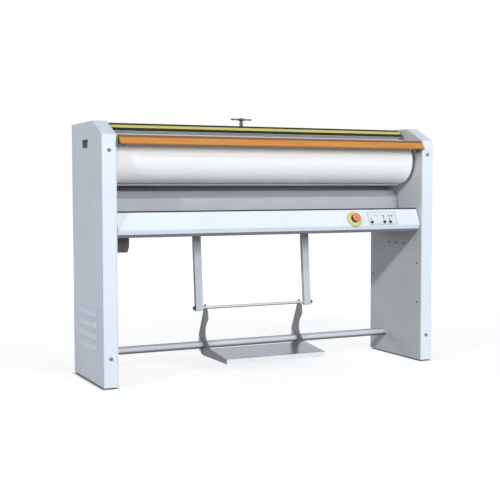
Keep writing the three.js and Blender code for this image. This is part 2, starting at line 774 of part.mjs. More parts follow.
const heaterPlace = shoeRadius + shoePlate + seat + heaterRadius;
for (const [name, degrees] of [['upper_heater', 38], ['lower_heater', -12]]) {
  const [y, z] = onArc(heaterPlace, degrees);
  add(name, rodX(heaterRadius, -shoeEdge + 12, shoeEdge - 12, 12).translate(0, y, z), darkSteel);
}
const blanketInner = heaterPlace + heaterRadius + seat;
add('shoe_insulation', prismX([
  ...arc(arcY, arcZ, blanketInner + blanket, -24, 52, 10),
  ...arc(arcY, arcZ, boreRadius(blanketInner, 47), 52, -24, 10)],
-shoeEdge + 8, shoeEdge - 8), blanketCloth);

// Cover: front fold, top, round shoulder, back parallel to the arms, then in to the plate
const coverBackY = (z) => armY(z, armDepth / 2 + seat);
const coverTopZ = axisZ + shoeTop;
const coverFrontY = axisY + shoeFront;
const leadRise = 1 / Math.tan(rad(wrapTop));
const [leadY, leadZ] = onLead(0, shoePlate);
const coverFoot = [coverFrontY, leadZ + (leadY - coverFrontY) * leadRise + seat];
const coverHeel = [coverBackY(axisZ - shoeBelow), axisZ - shoeBelow, 10];
const toeRadius = shoeRadius + shoePlate + seat - shoeSheet * Math.sin(rad(coverEndAngle));
const coverToe = onArc(toeRadius, coverEndAngle);
const coverCorners = [coverFoot, [coverFrontY, coverTopZ, 3], [coverBackY(coverTopZ), coverTopZ, 26],
  coverHeel, coverToe];
const coverPath = rounded(coverCorners, true);
add('shoe_cover', prismX(sheet(coverPath, -shoeSheet), -shoeEdge, shoeEdge), greyPaint);

const hingeY = axisY + guardHingeBehind;
const hingeZ = axisZ + guardHingeAbove;
function shoeEndSolid() {
  const inner = [...arc(arcY, arcZ, shoeRadius, coverEndAngle, wrapTop, 20),
    onLead((leadY - coverFrontY) / Math.sin(rad(wrapTop)), 0)];
  const outline = [...inner, ...coverPath];
  const from = shoeEdge + seat;
  const plate = prismX(outline, from, from + shoeEnd - seat);
  const ear = prismX([...arc(hingeY, hingeZ, guardRoll + 2, 0, 180, 8),
    [hingeY - guardRoll - 8, coverTopZ - 3], [hingeY + guardRoll + 4, coverTopZ - 3]],
  from, from + shoeEnd - seat);
  const pinHole = rodX(boreRadius(pinRadius + running, 20), from - 1, from + shoeEnd + 1, 20);
  const hingeHole = rodX(boreRadius(guardPin + running, 12), from - 1, from + shoeEnd + 1, 12);
  return cut(join(plate, ear), pinHole.translate(0, pinY, pinZ), hingeHole.translate(0, hingeY, hingeZ));
}
addPair('shoe_end', shoeEndSolid(), greyPaint);

addPair('shoe_pin', latheX([
  [0, shoeEdge + seat], [pinRadius - 1, shoeEdge + seat], [pinRadius, shoeEdge + 1.3],
  [pinRadius, wall - 7], [pinRadius + 3.5, wall - 7], [pinRadius + 3.5, wall], [0, wall],
], 20).translate(0, pinY, pinZ), darkSteel);

add('guard_hinge_pin', rodX(guardPin, -shoeEdge - shoeEnd, shoeEdge + shoeEnd, 12)
  .translate(0, hingeY, hingeZ), bareSteel);

// ---------------------------------------------------------------- finger guard

const stripTop = [axisY + guardBendBehind, axisZ + guardBendAbove];
const stripNose = [axisY - guardNoseAhead, axisZ + guardNoseAbove];
function guardFlapSolid() {
  const [bend, nose] = shifted([stripTop, stripNose], stripThickness + seat);
  const lidStart = [hingeY, hingeZ + guardRoll];
  const lid = prismX(sheet(rounded([lidStart, [...bend, 3], nose], true), guardSheet), -shoeEdge, shoeEdge);
  const roll = rodX(guardRoll, -shoeEdge, shoeEdge, 16).translate(0, hingeY, hingeZ);
  const bore = rodX(boreRadius(guardPin + running, 16), -shoeEdge - 1, shoeEdge + 1, 16);
  return cut(join(lid, roll), bore.translate(0, hingeY, hingeZ));
}
add('guard_flap', guardFlapSolid(), greyPaint);
const stripEdges = shifted([stripTop, stripNose], stripThickness);
add('guard_strip', prismX(rounded([
  [...stripTop, 1.6], [...stripEdges[0], 1], [...stripEdges[1], 1], [...stripNose, 1.8]]),
-shoeEdge - 1, shoeEdge + 1), yellowPlastic);

// ---------------------------------------------------------------- arms, rod, spring bracket

const armX = armSpacing / 2;
const armTop = axisZ + armAbove;
const armFoot = rodHeight - 13;
function armSolid() {
  const corner = (z, ahead, radius) => [armY(z, ahead), z, radius];
  const outline = rounded([
    corner(armFoot, armDepth / 2, 7), corner(armFoot, -armDepth / 2, 7),
    corner(armTop, -armDepth / 2, 3), corner(armTop, armDepth / 2, 3)]);
  const hole = circle(rodY, rodHeight, boreRadius(rodRadius + seat, 20), 20);
  return prismX(outline, armX - armWidth / 2, armX + armWidth / 2, [hole]);
}
addPair('arm', armSolid(), greyPaint);

const armOut = armX + armWidth / 2;
add('cross_rod', rodX(rodRadius, -armOut - rodEnd, armOut + rodEnd, 20)
  .translate(0, rodY, rodHeight), brightSteel);
const capStart = armOut + seat;
const capBore = boreRadius(rodRadius + seat, 20);
addPair('rod_cap', latheX([
  [0, armOut + rodEnd + seat], [capBore, armOut + rodEnd + seat], [capBore, capStart],
  [capRadius, capStart], [capRadius, capStart + capLength * 0.6],
  [capRadius * 0.75, capStart + capLength * 0.92], [0, capStart + capLength]], 20)
  .translate(0, rodY, rodHeight), blackPlastic);

const bracketZ = axisZ - bracketDrop;
const bracketTop = axisZ + 24;
function bracketSolid() {
  const backAt = (z) => coverBackY(z) + seat;
  const path = [[backAt(bracketTop), bracketTop], [backAt(bracketZ), bracketZ, 6], [screwY + 14, bracketZ]];
  const half = bracketWidth / 2;
  const plate = prismX(sheet(rounded(path, true), bracketSheet), -half, half);
  const rib = (x) => prismX([[backAt(bracketZ) + bracketSheet - 1, bracketZ + bracketSheet - 1],
    [screwY - springRadius - 6, bracketZ + bracketSheet - 1],
    [backAt(bracketTop - 10) + bracketSheet - 1, bracketTop - 10]], x, x + 3);
  const boss = latheZ([
    [0, bracketZ + 1], [springSeat, bracketZ + 1], [springSeat, bracketZ + bracketSheet + 10],
    [springSeat - 2, bracketZ + bracketSheet + 13], [0, bracketZ + bracketSheet + 13],
  ], 16).translate(0, screwY, 0);
  return join(plate, rib(-half), rib(half - 3), boss);
}
add('spring_bracket', bracketSolid(), bareSteel);

// ---------------------------------------------------------------- rear rail, T-handle, return spring

const railOutline = sheet(rounded([
  [railFront, railTop - railHeight], [railFront, railTop, 4], [railBack, railTop, 4],
  [railBack, railTop - railHeight]], true), -railSheet);
add('rear_rail', cut(prismX(railOutline, -wall, wall),
  rodZ(boreRadius(screwRadius + seat, 16), railTop - 2 * railSheet, railTop + 1, 16).translate(0, screwY, 0)),
framePaint);

const nutTop = railTop - railSheet - nutDrop;
const nutBottom = nutTop - nutHeight;
const nutBoss = nutBottom - nutNeck;
function nutSolid() {
  const half = railDepth / 2 - railSheet - seat;
  const body = prismZ([
    [-nutHalf, -half], [nutHalf, -half], [nutHalf, half], [-nutHalf, half]], nutBottom, nutTop);
  const boss = rodZ(springSeat, nutBoss, nutBottom + 1, 16);
  const bore = rodZ(boreRadius(screwRadius + running, 16), nutBoss - 1, nutTop + 1, 16);
  return cut(join(body, boss), bore).translate(0, screwY, 0);
}
add('spring_nut', nutSolid(), brightSteel);

function handleSolid() {
  const barZ = top + handleAbove;
  const half = handleLength / 2;
  const grip = handleGrip;
  const end = [[0, half], [0.65 * grip, half - 0.2 * grip], [grip, half - grip], [grip, half - 2 * grip],
    [handleNeck, half - 4 * grip], [1.15 * handleNeck, handleHubHalf], [0.87 * handleHub, handleHubHalf / 2]];
  const mirroredEnd = end.map(([r, along]) => [r, -along]);
  const bar = latheX([...mirroredEnd, [handleHub, 0], ...end.reverse()], 12).translate(0, 0, barZ);
  const seatZ = railTop + seat;
  const screwEnd = nutBoss - screwBelow;
  const stem = latheZ([[0, screwEnd], [screwRadius - 1, screwEnd], [screwRadius, screwEnd + 2],
    [screwRadius, seatZ], [stemCollar, seatZ], [stemCollar, seatZ + 3], [stemRadius, seatZ + 4],
    [stemRadius, barZ - 2 * handleHub], [0.8 * handleHub, barZ - 0.8 * handleHub], [0, barZ]], 16);
  return join(bar, stem).translate(0, screwY, 0);
}
add('t_handle', handleSolid(), bareSteel);

// Coil with closed ends: the pitch eases to the wire's thickness over the first and last turn
function springSolid() {
  const low = bracketZ + bracketSheet + seat + springWire;
  const high = nutBottom - seat - springWire;
  const closedPitch = 2 * springWire + 0.2;
  const openPitch = (high - low - 2 * closedPitch) / (springTurns - 2);
  const height = (turn) => {
    if (turn < 1) return closedPitch * turn;
    if (turn > springTurns - 1) return high - low - closedPitch * (springTurns - turn);
    return closedPitch + openPitch * (turn - 1);
  };
  const perTurn = 10;
  const wireSides = 5;
  const count = springTurns * perTurn;
  const positions = [];
  const index = [];
  for (let i = 0; i <= count; i++) {
    const a = (i / perTurn) * 2 * Math.PI;
    const z = low + height(i / perTurn);
    for (let k = 0; k < wireSides; k++) {
      const b = (k / wireSides) * 2 * Math.PI;
      const r = springRadius + springWire * Math.cos(b);
      positions.push(r * Math.cos(a), r * Math.sin(a), z + springWire * Math.sin(b));
    }
  }
  for (let i = 0; i < count; i++) {
    for (let k = 0; k < wireSides; k++) {
      const a = i * wireSides + k;
      const b = i * wireSides + ((k + 1) % wireSides);
      index.push(a, a + wireSides, b + wireSides, a, b + wireSides, b);
    }
  }
  const last = count * wireSides;
  for (let k = 1; k + 1 < wireSides; k++) {
    index.push(0, k, k + 1, last, last + k + 1, last + k);
  }
  const geometry = new THREE.BufferGeometry();
  geometry.setAttribute('position', new THREE.Float32BufferAttribute(positions, 3));
  geometry.setIndex(index);
  return closed(geometry).translate(0, screwY, 0);
}
add('return_spring', springSolid(), bareSteel);

function rearCoverSolid() {
  const from = railBack + seat;
  const high = railTop - 2;
  const edge = wall - seat;
  const panel = prismX(rounded([
    [from, rearBottom], [from + rearSheet, rearBottom], [from + rearSheet, high], [from, high]]), -edge, edge);
  const fold = (z) => block(-edge, edge, from - 12, from + 1, z, z + rearSheet);
  const slots = [];
  const slotPitch = (2 * edge) / (rearSlots + 1);
  for (let i = 1; i <= rearSlots; i++) {
    for (const row of [0, 1, 2]) {
      const x = -edge + i * slotPitch;
      const z = rearBottom + slotsAbove + row * slotRise;
      slots.push(block(x - slotHalf, x + slotHalf, from - 1, from + rearSheet + 1, z, z + slotHeight));
    }
  }
  return cut(join(panel, fold(rearBottom)), ...slots);
}
add('rear_cover', rearCoverSolid(), greyPaint);

// ---------------------------------------------------------------- beam, tray, feed bar

function beamSolid() {
  const [topY, topZ] = faceTop;
  const low = topZ - beamHeight;
  const path = rounded([
    [front + beamReturn, topZ - 12], [front + beamReturn, topZ, 3], [topY, topZ, 5],
    [faceFoot[0], faceFoot[1], 9], [front + 14, topZ - 88, 8], [front + 24, low, 6],
    [front + beamReturn, low, 3], [front + beamReturn, low + 14]], true);
  const edge = wall - beamEndGap;
  const shell = prismX(sheet(path, beamSheet), -edge, edge);
  const lug = prismX([
    [topY + 8, topZ - 1], [faceFoot[0] + 10, faceFoot[1]], [front + 26, low + 1],
    [front + beamReturn - 6, low + 1], [front + beamReturn - 6, topZ - 1]], edge - 4, wall);
  const holes = [
    [stopPlace, stopUp, stopShaft + 3],
    ...buttonPlaces.map((x) => [x, buttonUp, buttonRadius + loose]),
  ].map(([x, up, radius]) =>
    rodZ(radius, -3 * beamSheet, 2 * beamSheet, 20).translate(x, up, 0).applyMatrix4(face.matrix));
  return cut(join(shell, lug, mirrored(lug)), ...holes);
}
add('control_beam', beamSolid(), whitePaint);

const trayLip = [front + beamReturn - 10, top - beamTopDrop + seat];
function traySolid() {
  const trayFront = front + beamReturn + beamSheet + seat;
  const foot = top - beamTopDrop - trayDepth;
  const rim = [axisY + trayRimBehind, trayLip[1] + trayRimAbove];
  const path = rounded([
    trayLip, [trayFront + traySheet, trayLip[1], 2], [trayFront + traySheet, foot, 24],
    [axisY + trayFloorEnd, foot, 26], [axisY + trayWallBehind, trayLip[1] + trayWallAbove, 6],
    [...rim, 2], [rim[0] + trayRim, rim[1]]], true);
  const edge = wall - trayEndGap;
  return prismX(sheet(path, traySheet), -edge, edge);
}
add('receiving_tray', traySolid(), bareSteel);

// Feed bar: a wooden rail whose face slopes down towards the operator, on a bracket at each end
const barTop = [front + barTopFromFront, top - barTopDrop];
const barTip = [barTop[0] - barRun, barTop[1] - barHeight];
add('feed_bar', prismX(rounded([
  [...barTip, 2.5], [barTip[0] + barFootWidth, barTip[1], 4],
  [barTop[0] + barTopWidth, barTop[1], 4], [...barTop, 3]]), -wall + barEndGap, wall - barEndGap), wood);

function feedBracketSolid() {
  const shelfTop = barTip[1] - seat;
  const heel = barTip[0] + barFootWidth;
  const shelf = block(
    wall - bracketShelf, wall, barTip[0] + barTopWidth, heel, shelfTop - bracketPlate, shelfTop);
  const cheek = prismX(rounded([
    [barTip[0] + barTopWidth / 2, shelfTop - bracketPlate, 3], [heel, shelfTop - bracketPlate, 2],
    [heel + bracketShelf, shelfTop - bracketShelf / 2, 6], [heel + bracketShelf, shelfTop + bracketPlate, 6],
    [barTop[0] + barTopWidth + bracketPlate, barTop[1] - bracketPlate, 4],
    [barTop[0] + bracketPlate, barTop[1] - bracketPlate, 3]]), wall - bracketPlate, wall);
  return join(shelf, cheek);
}
addPair('feed_bracket', feedBracketSolid(), darkSteel);

// ---------------------------------------------------------------- treadle

add('cross_tube', ringX(crossRadius - crossWall, crossRadius, -wall, wall, 32)
  .translate(0, crossY, tubeHeight), brightSteel);

const treadleSlope = (treadleRearHeight - treadleFrontHeight) / (treadleRear - treadleFront);
const treadleTop = (y) => treadleFrontHeight + (y - front - treadleFront) * treadleSlope;
const treadleHalf = armX - hookInset;
const lipY = front + treadleFront;
const lipZ = treadleFrontHeight - treadleLip;
const treadlePath = rounded([
  [lipY, lipZ], [lipY, treadleFrontHeight, 3], [front + treadleRear, treadleRearHeight, 3],
  [front + treadleRear, treadleRearHeight - treadleFold]], true);
add('treadle', prismX(sheet(treadlePath, -treadleSheet), -treadleHalf, treadleHalf), brightSteel);

// Hook plate: an upright horn behind the cross rod, a hub on the cross tube and a cheek under the treadle
function hookPlateSolid() {
  const under = treadleSheet + seat;
  const hornY = rodY + rodRadius + seat;
  const shape = new THREE.Shape();
  shape.moveTo(hornY, rodHeight - rodRadius - 1);
  shape.lineTo(hornY, rodHeight + 10);
  shape.quadraticCurveTo(hornY + 3, rodHeight + 17, hornY + 9, rodHeight + 12);
  shape.lineTo(crossY - 17, rodHeight - 7);
  shape.quadraticCurveTo(crossY + 17, rodHeight - 80, crossY + 38, tubeHeight + 44);
  shape.lineTo(crossY + 42, tubeHeight + 4);
  shape.quadraticCurveTo(crossY + 38, tubeHeight - 26, crossY + 6, tubeHeight - 43);
  shape.lineTo(crossY - 26, lipZ);
  shape.lineTo(lipY + treadleSheet + seat, lipZ);
  shape.lineTo(lipY + treadleSheet + seat, treadleTop(lipY + treadleSheet + seat) - under);
  const behind = front + treadleRear + seat;
  shape.lineTo(behind - treadleSheet - 2 * seat, treadleTop(behind - treadleSheet) - under);
  shape.lineTo(behind - treadleSheet - 2 * seat, treadleRearHeight - treadleFold - 1);
  shape.lineTo(behind, treadleRearHeight - treadleFold - 1);
  shape.lineTo(behind, treadleRearHeight - 1);
  shape.quadraticCurveTo(crossY - 62, tubeHeight + 4, crossY - 40, tubeHeight + 24);
  shape.quadraticCurveTo(crossY - 24, tubeHeight + 46, crossY - 29, tubeHeight + 76);
  shape.quadraticCurveTo(crossY - 37, tubeHeight + 98, rodY - 19, rodHeight - 51);
  shape.quadraticCurveTo(rodY - 16, rodHeight - 30, rodY - 14, rodHeight - rodRadius - 3);
  shape.lineTo(rodY - 12, rodHeight - rodRadius - 1);
  const bore = circle(crossY, tubeHeight, boreRadius(crossRadius + running, 32), 32);
  const boltHoles = [[24, 24], [22, -22]].map(([y, z]) => circle(crossY + y, tubeHeight + z, 5, 12));
  shape.holes = [bore, ...boltHoles].map((hole) => new THREE.Path(vectors(hole)));
  const geometry = new THREE.ExtrudeGeometry(shape, {
    depth: hookPlate, bevelEnabled: false, steps: 1, curveSegments: 6,
  });
  return closed(geometry.applyMatrix4(toX).translate(treadleHalf - hookPlate - seat, 0, 0));
}
addPair('hook_plate', hookPlateSolid(), bareSteel);

// ---------------------------------------------------------------- controls, in the face's own frame

add('control_plate', prismZ(
  rounded([[plateFrom, plateBottom, 4], [plateTo, plateBottom, 4], [plateTo, plateHeight, 4],
    [plateFrom, plateHeight, 4]]),
  seat, seat + plateThickness,
  buttonPlaces.map((x) => circle(x, buttonUp, buttonRadius + loose, 20))), bareSteel, face);

const collar = stopReach - stopTravel - stopHead;
const stopBore = stopShaft + 1;
add('emergency_base', latheZ([[stopBore, seat], [stopDisc, seat], [stopDisc, 2.5], [stopDisc - 1.5, 4],
  [stopNeck + 2, 5], [stopNeck, collar], [stopBore, collar], [stopBore, seat]], 32)
  .translate(stopPlace, stopUp, 0), stopYellow, face);
const headBack = stopReach - stopHead + 1;
add('emergency_button', latheZ([[0, -10], [stopShaft, -10], [stopShaft, headBack], [stopCap - 2, headBack],
  [stopCap, headBack + 2], [stopCap - 2, stopReach - 2.5], [stopCap * 0.6, stopReach - 0.4],
  [0, stopReach]], 32).translate(stopPlace, stopUp, 0), stopRed, face);

const boxFront = -beamSheet - switchSpace;
buttonPlaces.forEach((x, i) => {
  const profile = [[0, boxFront + buttonTravel + seat], [buttonRadius, boxFront + buttonTravel + seat],
    [buttonRadius, buttonReach - 1.5], [buttonRadius - 1.5, buttonReach], [0, buttonReach]];
  add(`push_button_${i + 1}`, latheZ(profile, 20).translate(x, buttonUp, 0), blackPlastic, face);
});

function controlBoxSolid() {
  const low = plateBottom + boxInset;
  const high = plateHeight - boxInset;
  const lay = (x0, x1, n0, n1) => prismZ([[x0, low], [x1, low], [x1, high], [x0, high]], n0, n1);
  const box = lay(plateFrom, plateTo, boxFront - boxDepth, boxFront);
  const seats = [[plateFrom, plateFrom + boxWall], [plateTo - boxWall, plateTo]].map(([x0, x1]) =>
    lay(x0, x1, boxFront - 1, -beamSheet - seat));
  return join(box, ...seats);
}
add('control_box', controlBoxSolid(), darkSteel, face);
machine.add(face);

// ---------------------------------------------------------------- the part's own frame

// Origin: on the floor, under the middle of the machine's box
const reach = new THREE.Box3().setFromObject(machine);
machine.position.y = -(reach.min.y + reach.max.y) / 2;
const group = new THREE.Group();
group.add(machine);

export default group;
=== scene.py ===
import json
import math

import bmesh
import bpy
from mathutils import Matrix, Vector, noise

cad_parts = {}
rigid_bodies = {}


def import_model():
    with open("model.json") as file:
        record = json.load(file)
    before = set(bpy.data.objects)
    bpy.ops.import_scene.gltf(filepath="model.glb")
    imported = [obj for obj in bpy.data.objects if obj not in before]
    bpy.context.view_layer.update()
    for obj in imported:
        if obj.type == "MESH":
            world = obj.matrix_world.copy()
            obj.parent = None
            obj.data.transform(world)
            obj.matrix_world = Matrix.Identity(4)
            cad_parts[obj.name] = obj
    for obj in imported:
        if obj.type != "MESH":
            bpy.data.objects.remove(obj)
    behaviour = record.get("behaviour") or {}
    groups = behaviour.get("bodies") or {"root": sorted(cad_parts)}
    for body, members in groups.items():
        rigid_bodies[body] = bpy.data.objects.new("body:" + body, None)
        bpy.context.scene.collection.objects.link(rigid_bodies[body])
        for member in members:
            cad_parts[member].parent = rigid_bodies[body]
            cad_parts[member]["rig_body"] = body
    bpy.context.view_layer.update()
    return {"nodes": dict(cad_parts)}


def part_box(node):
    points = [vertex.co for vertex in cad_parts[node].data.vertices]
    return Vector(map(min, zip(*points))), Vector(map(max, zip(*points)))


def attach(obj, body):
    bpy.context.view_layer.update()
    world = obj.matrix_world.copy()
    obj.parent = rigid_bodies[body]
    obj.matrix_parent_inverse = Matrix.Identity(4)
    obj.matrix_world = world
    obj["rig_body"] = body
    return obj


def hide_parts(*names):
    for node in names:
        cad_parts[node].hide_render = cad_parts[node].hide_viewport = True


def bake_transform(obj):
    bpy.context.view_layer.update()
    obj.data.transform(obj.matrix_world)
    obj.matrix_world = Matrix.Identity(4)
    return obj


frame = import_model()
nodes = frame["nodes"]
scene = bpy.context.scene

# The CAD source measures in millimetres from the middle of the pedestals' depth. The packed
# model is shifted along Y, and this is by how much.
COVER_FRONT = -211
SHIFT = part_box("left_cover")[0].y * 1000 - COVER_FRONT


def at(x, y, z):
    """A place in the CAD source's millimetres, in the frame's metres."""
    return Vector((x, y + SHIFT, z)) / 1000


def mm(value):
    return value / 1000


X, Y, Z = Vector((1, 0, 0)), Vector((0, 1, 0)), Vector((0, 0, 1))
SIDES = ("left", "right")

# What turns, by its axis
ROLLER_Y, ROLLER_Z = -64, 911
ROLLER = at(0, ROLLER_Y, ROLLER_Z)
MOTOR = at(0, 23, 622)
CROSS_TUBE = at(0, 85.5, 101)
CROSS_ROD = at(0, 44, 270)
SHOE_PIN = at(0, -30, 1022)
GUARD_PIN = at(0, 50, 1046.5)
HANDLE = at(0, 177, 0)

# ---------------------------------------------------------------- camera

# Fitted to the photograph's edges
YAW, PITCH, ROLL = 25.61, -3.531, -0.107  # degrees
EYE = at(-1953.3, -3988.6, 791.7)
FOCAL_LENGTH, FRAME_WIDTH = 1008.25, 500  # pixels
SENSOR = 36  # mm


def make_camera():
    data = bpy.data.cameras.new("camera")
    cam = bpy.data.objects.new("camera", data)
    scene.collection.objects.link(cam)
    yaw, pitch, roll = (math.radians(angle) for angle in (YAW, PITCH, ROLL))
    forward = Vector((math.sin(yaw) * math.cos(pitch), math.cos(yaw) * math.cos(pitch),
                      math.sin(pitch)))
    right = Vector((math.cos(yaw), -math.sin(yaw), 0))
    up = right.cross(forward)
    right, up = (math.cos(roll) * right + math.sin(roll) * up,
                 math.cos(roll) * up - math.sin(roll) * right)
    turn = Matrix((right, up, -forward)).transposed().to_4x4()
    cam.matrix_world = Matrix.Translation(EYE) @ turn
    data.sensor_width = SENSOR
    data.lens = SENSOR * FOCAL_LENGTH / FRAME_WIDTH
    data.clip_start, data.clip_end = 0.1, 60
    scene.camera = cam


make_camera()

# ---------------------------------------------------------------- materials


class Nodes:
    """A material's node tree with short calls for the nodes used here."""

    def __init__(self, name, colour, roughness, metallic=0.0):
        self.material = bpy.data.materials.new(name)
        self.material.use_nodes = True
        self.material.diffuse_color = (*colour, 1)
        self.tree = self.material.node_tree
        self.shader = self.tree.nodes["Principled BSDF"]
        self.set(**{"Metallic": metallic, "Roughness": roughness, "Base Color": (*colour, 1)})
        self.coords = self.add("ShaderNodeTexCoord").outputs["Object"]

    def set(self, **values):
        """Values that are the same all over the surface, on the shader's own sockets."""
        for socket, value in values.items():
            self.shader.inputs[socket].default_value = value

    def add(self, kind, **settings):
        node = self.tree.nodes.new(kind)
        for name, value in settings.items():
            setattr(node, name, value)
        return node

    def link(self, out, into):
        self.tree.links.new(out, into)

    def stretched(self, scale):
        mapping = self.add("ShaderNodeMapping")
        mapping.inputs["Scale"].default_value = scale
        self.link(self.coords, mapping.inputs["Vector"])
        return mapping.outputs["Vector"]

    def axes(self, vector):
        """The X, Y and Z outputs of a vector."""
        node = self.add("ShaderNodeSeparateXYZ")
        self.link(vector, node.inputs[0])
        return node.outputs

    def noise(self, scale, detail=3.0, rough=0.5, vector=None, distortion=0.0):
        node = self.add("ShaderNodeTexNoise")
        node.inputs["Scale"].default_value = scale
        node.inputs["Detail"].default_value = detail
        node.inputs["Roughness"].default_value = rough
        node.inputs["Distortion"].default_value = distortion
        self.link(vector or self.coords, node.inputs["Vector"])
        return node.outputs["Fac"]

    def wave(self, scale, vector=None, direction="X", distortion=0.0, detail=0.0):
        node = self.add("ShaderNodeTexWave", wave_type="BANDS", bands_direction=direction)
        node.inputs["Scale"].default_value = scale
        node.inputs["Distortion"].default_value = distortion
        node.inputs["Detail"].default_value = detail
        self.link(vector or self.coords, node.inputs["Vector"])
        return node.outputs["Fac"]

    def spread(self, value, low, high, start, end):
        """low where value is at start, high where it is at end, and clamped outside."""
        node = self.add("ShaderNodeMapRange")
        node.inputs["From Min"].default_value = start
        node.inputs["From Max"].default_value = end
        node.inputs["To Min"].default_value = low
        node.inputs["To Max"].default_value = high
        self.link(value, node.inputs["Value"])
        return node.outputs["Result"]

    def maths(self, operation, a, b=0):
        node = self.add("ShaderNodeMath", operation=operation)
        for socket, value in zip(node.inputs, (a, b)):
            if isinstance(value, (int, float)):
                socket.default_value = value
            else:
                self.link(value, socket)
        return node.outputs["Value"]

    def blend(self, factor, a, b):
        """Colour a where factor is 0, b where it is 1."""
        node = self.add("ShaderNodeMix", data_type="RGBA")
        self.link(factor, node.inputs[0])
        for socket, value in ((node.inputs[6], a), (node.inputs[7], b)):  # its two colours
            if isinstance(value, tuple):
                socket.default_value = (*value, 1)
            else:
                self.link(value, socket)
        return node.outputs[2]

    def colour(self, out):
        self.link(out, self.shader.inputs["Base Color"])

    def roughness(self, out):
        self.link(out, self.shader.inputs["Roughness"])

    def bump(self, height, strength, distance):
        """Adds to the bumps that are there."""
        node = self.add("ShaderNodeBump")
        node.inputs["Strength"].default_value = strength
        node.inputs["Distance"].default_value = distance
        self.link(height, node.inputs["Height"])
        previous = self.shader.inputs["Normal"].links
        if previous:
            self.link(previous[0].from_socket, node.inputs["Normal"])
        self.link(node.outputs["Normal"], self.shader.inputs["Normal"])


def shade(colour, factor):
    return tuple(min(1.0, c * factor) for c in colour)


def paint(name, colour, roughness, clouding=0.06):
    """Powder coat: fine orange peel and faint clouding."""
    n = Nodes(name, colour, roughness)
    cloud = n.spread(n.noise(3.5, 4), 0, 1, 0.3, 0.75)
    n.colour(n.blend(cloud, shade(colour, 1 - clouding), shade(colour, 1.02)))
    n.roughness(n.spread(n.noise(26, 5), roughness - 0.07, roughness + 0.09, 0.3, 0.7))
    n.bump(n.noise(620, 2), 0.05, 0.0004)
    n.bump(n.noise(9, 2), 0.03, 0.002)
    n.set(**{"Specular IOR Level": 0.3})
    return n.material


def brushed(name, colour, roughness, along, grain, metallic=1.0):
    """Steel with a grain along one axis."""
    n = Nodes(name, colour, roughness, metallic)
    fine, coarse = 900, 3
    lines = n.noise(1, 3, 0.6, n.stretched([coarse if axis == along else fine for axis in "XYZ"]))
    smudge = n.noise(6, 4, 0.6)
    n.roughness(n.maths("ADD", n.spread(lines, roughness - 0.06, roughness + 0.08, 0.3, 0.7),
                        n.spread(smudge, 0, 0.08, 0.45, 0.8)))
    n.colour(n.blend(n.spread(smudge, 0, 1, 0.35, 0.75), colour, shade(colour, 0.93)))
    n.bump(lines, grain, 0.0002)
    return n.material


def satin_with_painted_shade(name, colour, painted_shade_factor):
    """Satin steel tube: light in front, with painted shade that dulls it along the top and darkens
    it underneath.
    """
    n = Nodes(name, colour, 0.36, 0.2)
    lines = n.noise(1, 3, 0.6, n.stretched((3, 700, 700)))
    upwards = n.axes(n.add("ShaderNodeNewGeometry").outputs["Normal"])["Z"]
    # Painted shade: the colour darkens on faces that point up and on faces that point down.
    above = n.spread(upwards, 0, 0.6, 0.7, 0.97)
    below = n.spread(upwards, 0, 1, -0.05, -0.6)
    n.colour(n.blend(n.maths("ADD", above, below), colour, shade(colour, painted_shade_factor)))
    n.roughness(n.spread(lines, 0.3, 0.44, 0.3, 0.7))
    n.bump(lines, 0.06, 0.0002)
    return n.material


def plastic(name, colour, roughness, grain, coat=0.0, specular=0.5):
    """Moulded plastic: faint mottling and a fine grain."""
    n = Nodes(name, colour, roughness)
    mottle = n.spread(n.noise(40, 3), 0, 1, 0.35, 0.7)
    n.colour(n.blend(mottle, shade(colour, 0.94), shade(colour, 1.03)))
    n.roughness(n.spread(n.noise(90, 3), roughness - 0.05, roughness + 0.07, 0.3, 0.7))
    n.bump(n.noise(1400, 2), grain, 0.0003)
    n.set(**{"Specular IOR Level": specular, "Coat Weight": coat, "Coat Roughness": 0.12})
    return n.material


def cast(name, colour, roughness):
    """Painted casting: pebbled skin."""
    n = Nodes(name, colour, roughness)
    skin = n.noise(260, 4, 0.6)
    n.colour(n.blend(n.spread(skin, 0, 1, 0.35, 0.7), shade(colour, 0.8), shade(colour, 1.15)))
    n.roughness(n.spread(skin, roughness - 0.08, roughness + 0.1, 0.3, 0.7))
    n.bump(skin, 0.25, 0.0006)
    return n.material


def ironing_cloth(name):
    """White cotton: plain weave with slight slubs and soft sheen."""
    colour = (0.93, 0.93, 0.935)
    n = Nodes(name, colour, 0.88)
    warp = n.wave(520, direction="X", distortion=0.6, detail=1)
    around = n.add("ShaderNodeVectorMath", operation="SUBTRACT")
    n.link(n.coords, around.inputs[0])
    around.inputs[1].default_value = ROLLER
    place = n.axes(around.outputs[0])
    angle = n.maths("ARCTAN2", place["Z"], place["Y"])
    weft = n.maths("SINE", n.maths("MULTIPLY", angle, 330))
    weave = n.maths("ADD", warp, n.spread(weft, 0, 1, -1, 1))
    slub = n.noise(1, 3, 0.6, n.stretched((18, 260, 260)))
    crease = n.noise(7, 3, 0.55)
    n.colour(n.blend(n.spread(slub, 0, 1, 0.45, 0.8), colour, shade(colour, 0.965)))
    n.bump(weave, 0.12, 0.0004)
    n.bump(slub, 0.10, 0.0008)
    n.bump(crease, 0.10, 0.004)
    n.set(**{"Sheen Weight": 0.15, "Sheen Roughness": 0.5})
    return n.material


